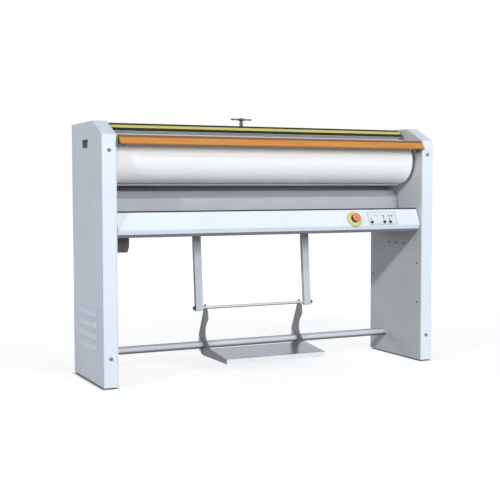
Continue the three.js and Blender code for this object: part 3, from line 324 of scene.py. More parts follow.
def varnished_wood(name):
    """Beech plank for the feed bar: long grain along X, flecks, darker bands along the upper and
    lower edges and a clear coat.
    """
    light, dark, edge_band = (0.72, 0.32, 0.055), (0.50, 0.18, 0.024), (0.15, 0.062, 0.024)
    n = Nodes(name, light, 0.35)
    long = n.noise(1, 4, 0.6, n.stretched((5, 70, 70)), 0.6)
    rings = n.wave(1, n.stretched((1.2, 55, 55)), "Z", 3.5, 3)
    fleck = n.noise(1, 3, 0.6, n.stretched((70, 900, 900)))
    base = n.blend(n.spread(long, 0, 1, 0.35, 0.7), light, shade(dark, 1.25))
    ringed = n.blend(n.spread(rings, 0, 0.45, 0.3, 0.9), base, dark)
    flecked = n.blend(n.spread(fleck, 0, 0.5, 0.55, 0.75), ringed, shade(dark, 0.8))
    height = n.axes(n.coords)["Z"]
    upper = n.spread(height, 0, 0.85, mm(989), mm(991))
    lower = n.spread(height, 0.6, 0, mm(965.5), mm(968))
    n.colour(n.blend(lower, n.blend(upper, flecked, edge_band), edge_band))
    n.roughness(n.spread(long, 0.28, 0.45, 0.3, 0.7))
    n.bump(fleck, 0.12, 0.0004)
    n.set(**{"Coat Weight": 0.1, "Coat Roughness": 0.2})
    return n.material


WHITE = paint("white_powder_coat", (0.80, 0.865, 0.945), 0.34)
# The louvres' tops and upright faces are shaded and lit copies of the white paint: painted shade
# and painted light.
LOUVRE_TOP_PAINTED_SHADE = paint("louvre_top_painted_shade", (0.73, 0.83, 0.94), 0.34)
LOUVRE_FRONT_PAINTED_LIGHT = paint("louvre_front_painted_light", (0.86, 0.91, 0.985), 0.34)
WALL = paint("inner_wall_paint", (0.74, 0.76, 0.785), 0.42)
GREY = paint("grey_paint", (0.60, 0.64, 0.70), 0.38)
FRAME_GREY = paint("frame_grey_paint", (0.40, 0.41, 0.44), 0.45)
TRAY = brushed("tray_steel", (0.46, 0.48, 0.51), 0.35, "X", 0.02, 0.15)
# Painted shade: the beam's downward faces get a dark copy of its paint.
BEAM_PAINTED_SHADE = paint("beam_underside_painted_shade", (0.24, 0.25, 0.27), 0.5)
# Painted shade: the front-facing faces of the shoe cover's back get a dark copy of its grey.
COVER_BACK_PAINTED_SHADE = paint("cover_back_painted_shade", (0.26, 0.275, 0.30), 0.45)
# Painted shade: the rear cover's front-facing faces get a near-black copy of its grey.
REAR_COVER_PAINTED_SHADE = paint("rear_cover_painted_shade", (0.085, 0.088, 0.095), 0.6)
STEEL = brushed("bare_steel", (0.175, 0.18, 0.188), 0.42, "Y", 0.10)
BRIGHT = brushed("bright_steel", (0.66, 0.68, 0.71), 0.26, "X", 0.08, 0.7)
TUBE = satin_with_painted_shade("cross_tube_steel", (0.66, 0.69, 0.74), 0.16)
ROD = satin_with_painted_shade("cross_rod_steel", (0.76, 0.775, 0.80), 0.06)
HOOK = brushed("hook_steel", (0.24, 0.245, 0.255), 0.45, "Z", 0.06, 0.4)
CAP = plastic("rod_cap_plastic", (0.07, 0.072, 0.078), 0.4, 0.1)
SHOE = brushed("shoe_steel", (0.86, 0.87, 0.88), 0.3, "X", 0.04, 0.1)
TREADLE = brushed("treadle_steel", (0.30, 0.33, 0.375), 0.20, "Y", 0.05)
# Painted highlight: the treadle's front-facing faces get a bright copy of its steel.
TREADLE_PAINTED_HIGHLIGHT = brushed("treadle_lip_painted_highlight", (0.86, 0.87, 0.88), 0.3, "X", 0.04, 0.2)
DARK = cast("black_enamel", (0.15, 0.15, 0.153), 0.5)
BLACK = plastic("black_plastic", (0.02, 0.02, 0.022), 0.45, 0.12)
CUP = plastic("grip_plastic", (0.27, 0.28, 0.30), 0.5, 0.15)
CLOTH = ironing_cloth("ironing_cloth")
WOOD = varnished_wood("varnished_wood")
GUARD = plastic("guard_yellow", (0.66, 0.61, 0.12), 0.34, 0.04, 0.2)
TRIM = plastic("guard_edge", (0.016, 0.018, 0.010), 0.55, 0.05, 0.0, 0.12)
YELLOW = plastic("stop_yellow", (0.71, 0.64, 0.22), 0.36, 0.04, 0.2)
RED = plastic("stop_red", (0.74, 0.22, 0.10), 0.26, 0.03, 0.5)
RUBBER = plastic("belt_rubber", (0.025, 0.025, 0.026), 0.75, 0.3)
BLANKET = cast("mineral_wool", (0.55, 0.52, 0.42), 0.95)
HEAT = cast("heater_sheath", (0.09, 0.085, 0.08), 0.55)
PLATE = paint("control_plate_print", (0.74, 0.77, 0.81), 0.3, 0.02)
INK = plastic("panel_ink", (0.10, 0.12, 0.18), 0.5, 0.02)
ZINC = brushed("zinc_screw", (0.30, 0.32, 0.36), 0.34, "Z", 0.05)

# ---------------------------------------------------------------- pieces

EVERY_EDGE, NOT_BENDS = 25, 40  # degrees between two faces from which their edge is broken
SMOOTH_OVER = 8  # degrees more than that, up to which faces shade as one
MERGED = 2e-6  # metres within which points are one
FLAT = 0.4  # degrees within which faces are one flat


def piece(name, bm, material, body, replaced=(), angle=32):
    """A visible object from a mesh. material may be several, and body is None if it bends."""
    mesh = bpy.data.meshes.new(name)
    bmesh.ops.recalc_face_normals(bm, faces=bm.faces)
    bm.to_mesh(mesh)
    bm.free()
    for one in material if isinstance(material, tuple) else (material,):
        mesh.materials.append(one)
    for polygon in mesh.polygons:
        polygon.use_smooth = True
    mesh.set_sharp_from_angle(angle=math.radians(angle))
    obj = bpy.data.objects.new(name, mesh)
    scene.collection.objects.link(obj)
    if body:
        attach(obj, body)
    if replaced:
        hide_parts(*replaced)
    return obj


def refined(node, material, bevel, angle=EVERY_EDGE, segments=2, extra=None, rides=True):
    """The node's own shape with its edges broken, as a piece that replaces it.
    It rides on the node's body, unless it bends between two."""
    source = nodes[node]
    bm = bmesh.new()
    bm.from_mesh(source.data)
    bmesh.ops.remove_doubles(bm, verts=bm.verts, dist=MERGED)
    bmesh.ops.dissolve_limit(bm, angle_limit=math.radians(FLAT), verts=bm.verts, edges=bm.edges)
    if bevel:
        sharp = [e for e in bm.edges if len(e.link_faces) == 2
                 and e.calc_face_angle(0) > math.radians(angle)]
        bmesh.ops.bevel(bm, geom=sharp, offset=mm(bevel), segments=segments, affect="EDGES",
                        profile=0.6, clamp_overlap=True)
        bmesh.ops.remove_doubles(bm, verts=bm.verts, dist=MERGED)
    if extra:
        extra(bm)
    body = source["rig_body"] if rides else None
    skin = piece(node + "_skin", bm, material, body, (node,), angle + SMOOTH_OVER)
    weighted = skin.modifiers.new("flat_faces", "WEIGHTED_NORMAL")
    weighted.weight = 100
    weighted.keep_sharp = True
    return skin


def painted_light_on(axis, limit):
    """Second material on the faces whose normal along an axis is below a limit: it carries painted
    shade on the beam and the covers, and a painted highlight on the treadle.
    """
    def mark(bm):
        for face in bm.faces:
            face.normal_update()
            face.material_index = 1 if getattr(face.normal, axis) < limit else 0
    return mark


# Front-facing faces: painted shade on the covers, a painted highlight on the treadle. Downward
# faces: painted shade on the beam.
painted_light_in_front = painted_light_on("y", -0.7)
painted_shade_below = painted_light_on("z", -0.5)

# ---------------------------------------------------------------- mesh helpers


def bridge(bm, lower, upper):
    """Faces between two rings of equal count."""
    n = len(lower)
    for i in range(n):
        j = (i + 1) % n
        bm.faces.new((lower[i], lower[j], upper[j], upper[i]))


def prism(bm, outline, matrix, depth):
    """Solid from a plane outline (x, y) in metres, along local Z."""
    lower, upper = ([bm.verts.new(matrix @ Vector((x, y, z))) for x, y in outline]
                    for z in (0, depth))
    bridge(bm, lower, upper)
    bm.faces.new(lower[::-1])
    bm.faces.new(upper)


def hexagon(angle):
    """The radius of a hexagon in a circle of radius 1."""
    return math.cos(math.pi / 6) / math.cos(angle % (math.pi / 3) - math.pi / 6)


def lathe(bm, profile, segments, matrix):
    """Turned solid: (radius, along) in millimetres about local Z, ends on the axis or closed in
    a ring. A third value makes that ring a hexagon."""
    rings = []
    closed = profile[0] == profile[-1]
    for radius, along, *six in profile[:-1] if closed else profile:
        radius, along = mm(radius), mm(along)
        if radius == 0:
            rings.append([bm.verts.new(matrix @ Vector((0, 0, along)))])
            continue
        ring = []
        for i in range(segments):
            a = 2 * math.pi * i / segments
            r = radius * hexagon(a) if six else radius
            ring.append(bm.verts.new(matrix @ Vector((r * math.cos(a), r * math.sin(a), along))))
        rings.append(ring)
    for lower, upper in zip(rings, rings[1:] + rings[:1] if closed else rings[1:]):
        for i in range(segments):
            j = (i + 1) % segments
            corners = []
            for v in (lower[i % len(lower)], lower[j % len(lower)],
                      upper[j % len(upper)], upper[i % len(upper)]):
                if v not in corners:
                    corners.append(v)
            if len(corners) > 2:
                bm.faces.new(corners)


def rounded_profile(points, radius, steps=4):
    """Profile with its inner corners rounded."""
    out = [points[0]]
    for before, corner, after in zip(points, points[1:], points[2:]):
        a, b, c = (Vector(p) for p in (before, corner, after))
        r = min(radius, (a - b).length * 0.45, (c - b).length * 0.45)
        start, end = b + (a - b).normalized() * r, b + (c - b).normalized() * r
        for i in range(steps + 1):
            t = i / steps
            p = start * (1 - t) ** 2 + b * 2 * t * (1 - t) + end * t ** 2
            out.append((p.x, p.y))
    out.append(points[-1])
    return out


def rounder(centre, direction, cuts=3):
    """For a turned node: cuts its rings finer and sets the new points out on the ring's circle."""
    one_level, one_radius, smallest = 2e-6, 3e-5, 1e-3  # metres
    chord = 0.9  # of the radius: the longest edge of a ring, and the furthest in that it cuts

    def place(co):
        rel = co - centre
        along = rel.dot(direction)
        return (rel - along * direction).length, along

    def change(bm):
        around = []
        radii = {}
        for edge in bm.edges:
            (r0, a0), (r1, a1) = (place(v.co) for v in edge.verts)
            if (abs(a0 - a1) < one_level and abs(r0 - r1) < one_radius and r0 > smallest
                    and edge.calc_length() < r0 * chord):
                around.append(edge)
                radii.setdefault(round(a0, 5), set()).add(r0)
        old = set(bm.verts)
        bmesh.ops.subdivide_edges(bm, edges=around, cuts=cuts, use_grid_fill=True)
        for v in bm.verts:
            if v in old:
                continue
            r, along = place(v.co)
            near = [q for k in (-1e-5, 0, 1e-5) for q in radii.get(round(along + k, 5), ())
                    if r <= q + 1e-6 and r > q * chord]
            if near:
                on_axis = centre + along * direction
                v.co = on_axis + (v.co - on_axis) * (min(near) / r)
    return change


def rectangle(x0, y0, x1, y1, radius):
    """Outline in metres of a rectangle in millimetres with round corners."""
    steps = 5
    x0, y0, x1, y1, radius = (mm(value) for value in (x0, y0, x1, y1, radius))
    out = []
    for cx, cy, start in ((x1 - radius, y0 + radius, -90), (x1 - radius, y1 - radius, 0),
                          (x0 + radius, y1 - radius, 90), (x0 + radius, y0 + radius, 180)):
        for i in range(steps + 1):
            a = math.radians(start + 90 * i / steps)
            out.append((cx + radius * math.cos(a), cy + radius * math.sin(a)))
    return out


def soft_outline(corners, steps=5):
    """Outline in metres from corners (u, v, radius) in millimetres, with the corners rounded."""
    out = []
    n = len(corners)
    for i, (u, v, radius) in enumerate(corners):
        b = Vector((u, v))
        to_a = (Vector(corners[i - 1][:2]) - b).normalized()
        to_c = (Vector(corners[(i + 1) % n][:2]) - b).normalized()
        half = math.acos(max(-1, min(1, to_a.dot(to_c)))) / 2
        reach = radius / math.tan(half)
        start, end = b + to_a * reach, b + to_c * reach
        middle = b + (to_a + to_c).normalized() * (radius / math.sin(half))
        for k in range(steps + 1):
            t = k / steps
            p = middle + ((start - middle) * (1 - t) + (end - middle) * t).normalized() * radius
            out.append((mm(p.x), mm(p.y)))
    return out


def strip(corners, half):
    """Bar along X, half to each side, from its section's corners (y, z, radius)."""
    bm = bmesh.new()
    prism(bm, soft_outline(corners), Matrix((Y, Z, X)).transposed().to_4x4(), mm(2 * half))
    bmesh.ops.translate(bm, verts=bm.verts, vec=at(-half, 0, 0))
    return bm


# ---------------------------------------------------------------- sheet metal and castings

COVER_FACE = mm(778)  # the pedestals' outer face, from the middle
LOUVRE_FACE = mm(7)  # how far the louvres' faces stand out from it

COVER_EDGE = mm(864)  # the lower edge of the shoe cover's back is below this height
COVER_BACK = mm(SHIFT + 30)  # and behind this
COVER_DROP = 73  # how far the back goes on down
BACK_LEAN = -0.083  # its way back per way down, as the arms lean


def louvre_painted_light_faces(bm):
    """Second material on the louvres' sloping tops, a darker tone that is painted shade; third on
    their upright faces, a lighter tone that is painted light.
    """
    for face in bm.faces:
        face.normal_update()
        middle = face.calc_center_median()
        proud = abs(middle.x) > COVER_FACE + mm(1)
        if proud and face.normal.z > 0.2 and abs(face.normal.y) < 0.3:
            face.material_index = 1
        elif proud and (abs(middle.x) > COVER_FACE + LOUVRE_FACE or face.normal.y < -0.2):
            face.material_index = 2
        else:
            face.material_index = 0


def deeper_back(bm):
    """The cover's back goes on down, along the arms, and its bottom slopes up to the shoe. Its
    front-facing faces get painted shade.
    """
    for v in bm.verts:
        if v.co.z < COVER_EDGE and v.co.y > COVER_BACK:
            v.co += Vector((0, mm(BACK_LEAN * COVER_DROP), -mm(COVER_DROP)))
    painted_light_in_front(bm)


for side in SIDES:
    refined(f"{side}_frame_plate", WALL, 0.5)
    refined(f"{side}_cover", (WHITE, LOUVRE_TOP_PAINTED_SHADE, LOUVRE_FRONT_PAINTED_LIGHT), 0.4, NOT_BENDS, extra=louvre_painted_light_faces)
    refined(f"{side}_grip_cup", CUP, 0.6, NOT_BENDS)
    refined(f"{side}_shoe_end", GREY, 0.4)
    refined(f"{side}_arm", GREY, 0.8, segments=3)
    refined(f"{side}_hook_plate", HOOK, 0.4)
    refined(f"{side}_feed_bracket", DARK, 0.4)
refined("shoe_cover", (GREY, COVER_BACK_PAINTED_SHADE), 0.3, NOT_BENDS, extra=deeper_back)
refined("guard_flap", GREY, 0.3, NOT_BENDS)
refined("control_beam", (WHITE, BEAM_PAINTED_SHADE), 0.3, NOT_BENDS, extra=painted_shade_below)
refined("receiving_tray", TRAY, 0.3, NOT_BENDS)
refined("rear_rail", FRAME_GREY, 0.4)
refined("treadle", (TREADLE, TREADLE_PAINTED_HIGHLIGHT), 0.5, extra=painted_light_in_front)
refined("gear_motor", DARK, 0.8, NOT_BENDS)
refined("control_box", DARK, 0.8)
refined("spring_bracket", STEEL, 0.4)
refined("shoe_plate", SHOE, 0.3, NOT_BENDS, segments=1)
refined("control_plate", PLATE, 0.3, NOT_BENDS)
refined("spring_nut", BRIGHT, 0.5)
refined("rear_cover", (GREY, REAR_COVER_PAINTED_SHADE), 0.3, extra=painted_light_in_front)
refined("drive_belt", RUBBER, 0.0)
refined("shoe_insulation", BLANKET, 0.0)

# The spring rides on no body: its place is baked into its mesh. Its bracket hangs on the shoe's
# arms.
low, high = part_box("return_spring")
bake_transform(refined("return_spring", STEEL, 0.0, rides=False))

# ---------------------------------------------------------------- turned parts

for name, material, axis_point, cuts in (
        ("roller_tube", STEEL, ROLLER, 3), ("left_journal", BRIGHT, ROLLER, 3),
        ("right_journal", BRIGHT, ROLLER, 3), ("left_roller_bearing", DARK, ROLLER, 3),
        ("right_roller_bearing", DARK, ROLLER, 3), ("roller_pulley", DARK, ROLLER, 3),
        ("motor_pulley", DARK, MOTOR, 3), ("motor_shaft", BRIGHT, MOTOR, 3),
        ("cross_tube", TUBE, CROSS_TUBE, 3), ("cross_rod", ROD, CROSS_ROD, 2),
        ("left_rod_cap", CAP, CROSS_ROD, 3), ("right_rod_cap", CAP, CROSS_ROD, 3),
        ("left_shoe_pin", DARK, SHOE_PIN, 2), ("right_shoe_pin", DARK, SHOE_PIN, 2),
        ("guard_hinge_pin", STEEL, GUARD_PIN, 2)):
    refined(name, material, 0.0, extra=rounder(axis_point, X, cuts))
for node, material, axis in (
        *((f"{side}_{end}_foot", BLACK, Z) for side in SIDES for end in ("front", "rear")),
        ("upper_heater", HEAT, X), ("lower_heater", HEAT, X)):
    low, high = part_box(node)
    refined(node, material, 0.0, extra=rounder((low + high) / 2, axis))
refined("t_handle", STEEL, 0.0, extra=rounder(HANDLE, Z))

# ---------------------------------------------------------------- roller cloth

CLOTH_RADIUS, LINING_RADIUS = 101.5, 90.5
LINING_HALF = 702  # half the length of the cloth's inner side
HEM = 664  # where the hem starts, from the middle
HEM_PROFILE = [(CLOTH_RADIUS, HEM), (101.6, 672), (101.9, 674.5), (101.95, 680), (101.9, 686),
               (101.6, 691), (100.6, 696), (98.4, 700.6), (95.2, 703.7), (92.6, 704.6),
               (91.0, 704.2), (LINING_RADIUS, 702.5)]
SEAM = 676
GATHERS, GATHERED = 688, 12  # where the gathers start, and how far on they are full
PLEATS = 40


def roller_cloth():
    """The cloth's hem is doubled near each end, where a cord gathers it over the padding's edge."""
    steps, steps_inside, segments = 90, 8, 200
    profile = [(r, -x) for r, x in reversed(HEM_PROFILE)]
    profile += [(CLOTH_RADIUS, -HEM + 2 * HEM * i / steps) for i in range(1, steps)]
    profile += HEM_PROFILE
    profile += [(LINING_RADIUS, LINING_HALF - 2 * LINING_HALF * i / steps_inside)
                for i in range(1, steps_inside)]
    bm = bmesh.new()
    rings = []
    for radius, x in profile:
        outside = radius > LINING_RADIUS + 0.1
        gather = max(0.0, min(1.0, (abs(x) - GATHERS) / GATHERED)) if outside else 0.0
        ring = []
        for i in range(segments):
            a = 2 * math.pi * i / segments
            y, z = math.cos(a), math.sin(a)
            r = radius
            if outside:
                wander = noise.noise(Vector((x / 160, 2 * y, 2 * z)))
                fine = noise.noise(Vector((x / 34 + 9, 9 * y, 9 * z)))
                r += (0.35 * wander + 0.12 * fine) * (1 - gather)
                r -= 0.45 * max(0.0, 1 - abs(abs(x) - SEAM) / 1.6)
                pleat = math.sin(PLEATS * a + 3 * noise.noise(Vector((3 * y, 3 * z, 5))))
                r += gather * (0.5 * pleat - 0.45)
            ring.append(bm.verts.new(at(x, ROLLER_Y + r * y, ROLLER_Z + r * z)))
        rings.append(ring)
    for lower, upper in zip(rings, rings[1:] + rings[:1]):
        bridge(bm, lower, upper)
    cloth = piece("roller_cloth", bm, CLOTH, "roller", ("roller_padding",), 50)


roller_cloth()

# ---------------------------------------------------------------- guard, feed bar and beam

# Frame of the finger guard: u down its slope from the upper edge, n outwards
GUARD_HALF = 704
slope = Vector((0, -45, -31.6)).normalized()
GUARD_FACE = Matrix((slope, Vector((0, slope.z, -slope.y)), -X)).transposed().to_4x4()
GUARD_FACE.translation = at(GUARD_HALF, -31, 1058.3)

bm = bmesh.new()
prism(bm, soft_outline([(0.2, -3.9, 0.6), (54.6, -3.9, 0.6), (54.8, -1.6, 1.0), (47, -1.3, 0.5),
                        (9, -1.9, 0.5), (0.4, -1.2, 1.2)]), GUARD_FACE, mm(2 * GUARD_HALF))
piece("guard_edges", bm, TRIM, "guard")

bm = bmesh.new()
prism(bm, soft_outline([(13, -2.6, 0.3), (36, -2.6, 0.3), (35.5, -1.5, 1.2), (31, -0.05, 6),
                        (19, -0.05, 6), (14, -1.7, 1.2)], 8), GUARD_FACE, mm(2 * GUARD_HALF))
piece("guard_strip_skin", bm, GUARD, "guard", ("guard_strip",))

# A shallow groove runs along the bar's face, below the darker upper band
feed_bar = strip([(-242, 962.5, 2.5), (-206, 962.5, 3.5), (-194, 1000.5, 3.5), (-209, 1000.5, 3),
                  (-214.9, 993.7, 0.2), (-214.7, 992.6, 0.2), (-216.7, 991.6, 0.2)], 709)
piece("feed_bar_skin", feed_bar, WOOD, "frame", ("feed_bar",))

# A rubber strip covers the beam's upper edge
edge_trim = strip([(-174.5, 694.1, 0.6), (-169.5, 694.1, 0.4), (-169.5, 699.4, 1.2),
                   (-174.5, 699.4, 1.4)], 712)
piece("tray_edge_trim", edge_trim, BLACK, "frame")

# ---------------------------------------------------------------- controls

# Frame of the beam's sloping face: u along X, v up the slope, n outwards
up_face = Vector((0, 30, 68)).normalized()
FACE = Matrix((X, up_face, X.cross(up_face))).transposed().to_4x4()
FACE.translation = at(0, COVER_FRONT + 5, 626)
PLATE_TOP = 1.7  # just under the control plate's surface
PRINT, FINE_PRINT = 0.18, 0.14  # how far the marks stand out from there
STOP = (375, 30)
BUTTONS = (460, 526, 556)


def on_face(u, v, n=0.0):
    return FACE @ Matrix.Translation(Vector((u, v, n)) / 1000)


def turned(profile, segments, place):
    bm = bmesh.new()
    lathe(bm, profile, segments, place)
    return bm


# Printed frame, a square over the first button, a lever over the other two, and title dashes
bm = bmesh.new()
outer, inner = rectangle(444.5, 2.5, 593.5, 62.5, 4), rectangle(445.9, 3.9, 592.1, 61.1, 3)
rings = [[bm.verts.new(FACE @ Vector((x, y, mm(z)))) for x, y in line]
         for line, z in ((outer, PLATE_TOP), (outer, PLATE_TOP + PRINT),
                         (inner, PLATE_TOP + PRINT), (inner, PLATE_TOP))]
for lower, upper in zip(rings, rings[1:] + rings[:1]):
    bridge(bm, lower, upper)
for x0, y0, x1, y1 in ((524.6, 21, 527.4, 42), (522.4, 40, 529.6, 47), (554.6, 21, 557.4, 42),
                       (552.4, 40, 559.6, 47), (565, 43, 576, 46.6), (568.7, 34, 572.3, 45),
                       (456.6, 26, 463.4, 32)):
    prism(bm, rectangle(x0, y0, x1, y1, 0.6), on_face(0, 0, PLATE_TOP), mm(PRINT))
for i in range(7):
    dash = rectangle(480 + 5.4 * i, 45, 483.2 + 5.4 * i, 47.4, 0.4)
    prism(bm, dash, on_face(0, 0, PLATE_TOP), mm(FINE_PRINT))
piece("control_plate_marks", bm, INK, "frame")

bm = bmesh.new()
for x, y in ((449.5, 57), (588.5, 57), (449.5, 8), (588.5, 8)):
    lathe(bm, [(0, 1.6), (1.9, 1.6), (1.9, 1.9), (1.5, 2.3), (0.8, 2.4, 6), (0.8, 2.0, 6),
               (0, 2.0)], 24, on_face(x, y))
piece("control_plate_screws", bm, PLATE, "frame")

button = [(0, -9.7), (6, -9.7)] + rounded_profile([(6, -9.6), (6, 8), (4.2, 7.4), (0, 7.2)], 1.2)
for i, x in enumerate(BUTTONS):
    piece(f"push_button_{i + 1}_skin", turned(button, 40, on_face(x, 13)), BLACK,
          f"button_{i + 1}", (f"push_button_{i + 1}",))

# The emergency stop: a yellow disc, a black gasket with a collar whose black ring round the disc
# and round the mushroom's neck is painted shade, and the mushroom head
disc = [(17, 1.8)] + rounded_profile([(17, 1.81), (34.6, 1.8), (34.6, 2.6), (32.6, 4.2), (20, 5.0),
                                      (17, 5.2), (17, 1.82)], 1.2, 5) + [(17, 1.8)]
piece("emergency_base_skin", turned(disc, 96, on_face(*STOP)), YELLOW, "frame",
      ("emergency_base",))
painted_shade_gasket = [(9, 0.3), (35.4, 0.3), (35.4, 1.4), (34.9, 1.75), (16.9, 1.75), (16.9, 5.3), (16.2, 7),
          (15, 8), (14.6, 14), (9, 14), (9, 0.3)]
piece("emergency_gasket_painted_shade", turned(painted_shade_gasket, 96, on_face(*STOP)), BLACK, "frame")
dome = [(19.5 * math.cos(a) if a < 0.3 else 19.2 * math.cos(a) ** 0.8, 21.6 + 5.4 * math.sin(a))
        for a in (math.pi / 2 * k / 14 for k in range(14))]
mushroom = [(0, -10), (8, -10), (8, 19), (17.4, 19), (18.8, 19.4), (19.5, 20.4), *dome, (0, 27)]
piece("emergency_button_skin", turned(mushroom, 96, on_face(*STOP)), RED, "stop_button",
      ("emergency_button",))

# ---------------------------------------------------------------- screws and bolts

FACING = {"+x": Matrix.Rotation(math.pi / 2, 4, "Y"), "-x": Matrix.Rotation(-math.pi / 2, 4, "Y"),
          "-y": Matrix.Rotation(math.pi / 2, 4, "X"), "+y": Matrix.Rotation(-math.pi / 2, 4, "X")}
PAN = [(0, -0.4), (8.2, -0.4), (8.2, 1.0), (7.8, 1.4), (5.9, 1.4), (5.9, 3.0), (5.4, 4.2),
       (4.2, 4.9), (2.6, 5.1, 6), (2.6, 2.8, 6), (0, 2.8)]
RIVET = [(0, -0.4), (4.2, -0.4), (4.2, 0.5), (3.7, 1.5), (2.4, 2.3), (1.0, 2.7), (0, 2.7)]
BOLT = [(0, -5.6), (4.8, -5.6), (4.8, -0.4), (9.4, -0.4), (9.4, 1.2), (9.0, 1.5), (7.6, 1.5, 6),
        (7.6, 5.8, 6), (7.0, 6.6, 6), (0, 6.6)]
REAR_FACE = 204.3  # the rear cover's outer side
INNER_WALL = 718  # the pedestals' inner sides, from the middle
HOOK_OUTSIDE, HOOK_INSIDE = 235.2, 230.2  # the hook plates' two sides, from the middle


def fasteners(name, body, material, spots, profile):
    """Screws, rivets or bolts of one kind, in one piece: spots are (x, y, z, facing)."""
    bm = bmesh.new()
    for x, y, z, facing in spots:
        lathe(bm, profile, 24, Matrix.Translation(at(x, y, z)) @ FACING[facing])
    piece(name, bm, material, body)


fasteners("pedestal_screws", "frame", ZINC,
          [(x, COVER_FRONT, z, "-y") for x in (-748, 748) for z in (939, 120)], PAN)
# The rear cover's own screws, so that nothing stands out behind the pedestals
fasteners("rear_cover_screws", "frame", ZINC,
          [(x, REAR_FACE, z, "+y") for x, z in ((-690, 1036), (-230, 1036), (230, 1036),
                                                (690, 1036), (-690, 622), (690, 622))], PAN)
fasteners("wall_rivets", "frame", BLACK,
          [(x, y, z, facing) for x, facing in ((-INNER_WALL, "+x"), (INNER_WALL, "-x"))
           for y, z in ((52, 533), (-8, 533), (-68, 533), (-177, 446), (-179, 269), (192, 374))],
          RIVET)
fasteners("hook_bolts", "pedal", BRIGHT,
          [(x, y, z, facing) for x, facing in ((-HOOK_OUTSIDE, "-x"), (HOOK_OUTSIDE, "+x"),
                                               (-HOOK_INSIDE, "+x"), (HOOK_INSIDE, "-x"))
           for y, z in ((109.5, 125), (107.5, 79))], BOLT)

# ---------------------------------------------------------------- studio

FLOOR_HALF = 30  # metres
FLOOR_GLOW = 0.80  # what the floor adds of its own near the object, to look white
FAR_GLOW = 0.14  # and what it adds to that further out, where the lamps no longer reach
NEAR, FAR = 1.2, 4.0  # metres from the middle between which it does
PEDESTAL_MIDDLE, PEDESTAL_HALF_WIDTH, PEDESTAL_HALF_DEPTH = mm(751), mm(24), mm(201)
CONTACT_SHADOW_FADE = mm(18)  # over which the painted contact shadow round a pedestal fades back into the glow
SKY, SKY_STRENGTH = (0.84, 0.92, 1.0), 0.135
LAMPS_FACE = Vector((0, 0, 0.6))
LAMPS = (  # name, place, size, watts, colour, seen in reflections
    ("key", (-7.56, -3.96, 3.39), (0.4, 0.4), 244, (0.94, 0.97, 1.0), False),
    ("front_fill", (0.8, -8.7, 2.9), (4.0, 3.0), 625, (0.97, 0.985, 1.0), False),
    ("back_fill", (-1.5, 9.0, 3.2), (4.0, 3.0), 300, (0.97, 0.985, 1.0), False),
    ("highlight", (1.6, -3.0, 3.0), (0.3, 0.3), 5, (1.0, 1.0, 1.0), True),
)


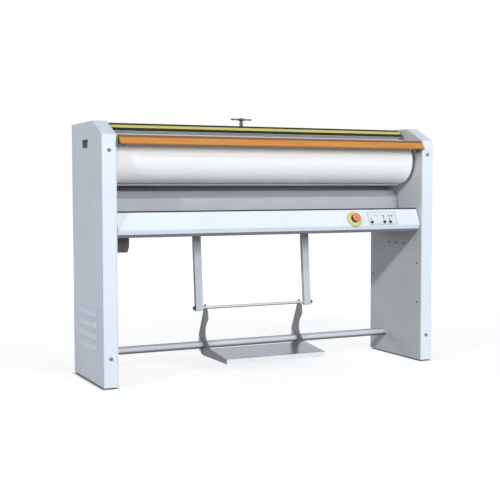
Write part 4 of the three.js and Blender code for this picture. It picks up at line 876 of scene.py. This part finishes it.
def make_floor():
    """Pale floor that keeps the object's shadow, with its glow cut under the pedestals: a painted
    contact shadow.
    """
    bm = bmesh.new()
    bm.faces.new([bm.verts.new((x * FLOOR_HALF, y * FLOOR_HALF, 0))
                  for x, y in ((-1, -1), (1, -1), (1, 1), (-1, 1))])
    mesh = bpy.data.meshes.new("floor")
    bm.to_mesh(mesh)
    bm.free()
    n = Nodes("floor", (0.30, 0.305, 0.31), 0.9)
    n.set(**{"Specular IOR Level": 0.1})
    place = n.axes(n.coords)
    # Painted contact shadow: the glow fades out within the pedestals' footprints.
    from_middle = n.maths("ABSOLUTE", place["X"])
    beside = n.maths("ABSOLUTE", n.maths("SUBTRACT", from_middle, PEDESTAL_MIDDLE))
    along = n.maths("ABSOLUTE", n.maths("SUBTRACT", place["Y"], mm(SHIFT)))
    past = n.maths("MAXIMUM", n.maths("SUBTRACT", beside, PEDESTAL_HALF_WIDTH),
                   n.maths("SUBTRACT", along, PEDESTAL_HALF_DEPTH))
    path = n.add("ShaderNodeLightPath")
    rays = n.maths("MAXIMUM", path.outputs["Is Camera Ray"], path.outputs["Is Glossy Ray"])
    seen = n.maths("MULTIPLY", rays, n.spread(past, 0, 1, 0, CONTACT_SHADOW_FADE))
    far = n.add("ShaderNodeVectorMath", operation="LENGTH")
    n.link(n.coords, far.inputs[0])
    strength = n.spread(far.outputs["Value"], FLOOR_GLOW, FLOOR_GLOW + FAR_GLOW, NEAR, FAR)
    glow = n.add("ShaderNodeEmission")
    n.link(n.maths("MULTIPLY", seen, strength), glow.inputs["Strength"])
    total = n.add("ShaderNodeAddShader")
    n.link(n.shader.outputs[0], total.inputs[0])
    n.link(glow.outputs[0], total.inputs[1])
    n.link(total.outputs[0], n.tree.nodes["Material Output"].inputs["Surface"])
    mesh.materials.append(n.material)
    obj = bpy.data.objects.new("floor", mesh)
    scene.collection.objects.link(obj)


def make_world():
    """White where the camera, a reflection or glass sees it, and a faint sky blue as light."""
    world = bpy.data.worlds.new("studio")
    scene.world = world
    world.use_nodes = True
    tree = world.node_tree
    sky = tree.nodes["Background"]
    sky.inputs["Color"].default_value = (*SKY, 1)
    sky.inputs["Strength"].default_value = SKY_STRENGTH
    white = tree.nodes.new("ShaderNodeBackground")
    white.inputs["Color"].default_value = (1, 1, 1, 1)
    white.inputs["Strength"].default_value = 1.0
    path = tree.nodes.new("ShaderNodeLightPath")
    seen = path.outputs["Is Camera Ray"]
    for ray in ("Is Transmission Ray", "Is Glossy Ray"):
        either = tree.nodes.new("ShaderNodeMath")
        either.operation = "MAXIMUM"
        tree.links.new(seen, either.inputs[0])
        tree.links.new(path.outputs[ray], either.inputs[1])
        seen = either.outputs[0]
    mix = tree.nodes.new("ShaderNodeMixShader")
    tree.links.new(seen, mix.inputs[0])
    tree.links.new(sky.outputs[0], mix.inputs[1])
    tree.links.new(white.outputs[0], mix.inputs[2])
    tree.links.new(mix.outputs[0], tree.nodes["World Output"].inputs["Surface"])


def area_light(name, place, size, power, colour, reflected):
    data = bpy.data.lights.new(name, "AREA")
    data.shape = "RECTANGLE"
    data.size, data.size_y = size
    data.energy = power
    data.color = colour
    obj = bpy.data.objects.new(name, data)
    scene.collection.objects.link(obj)
    obj.location = place
    obj.rotation_mode = "QUATERNION"
    obj.rotation_quaternion = (LAMPS_FACE - Vector(place)).to_track_quat("-Z", "Y")
    obj.visible_glossy = reflected


make_floor()
make_world()
for lamp in LAMPS:
    area_light(*lamp)

scene.view_settings.view_transform = "Standard"
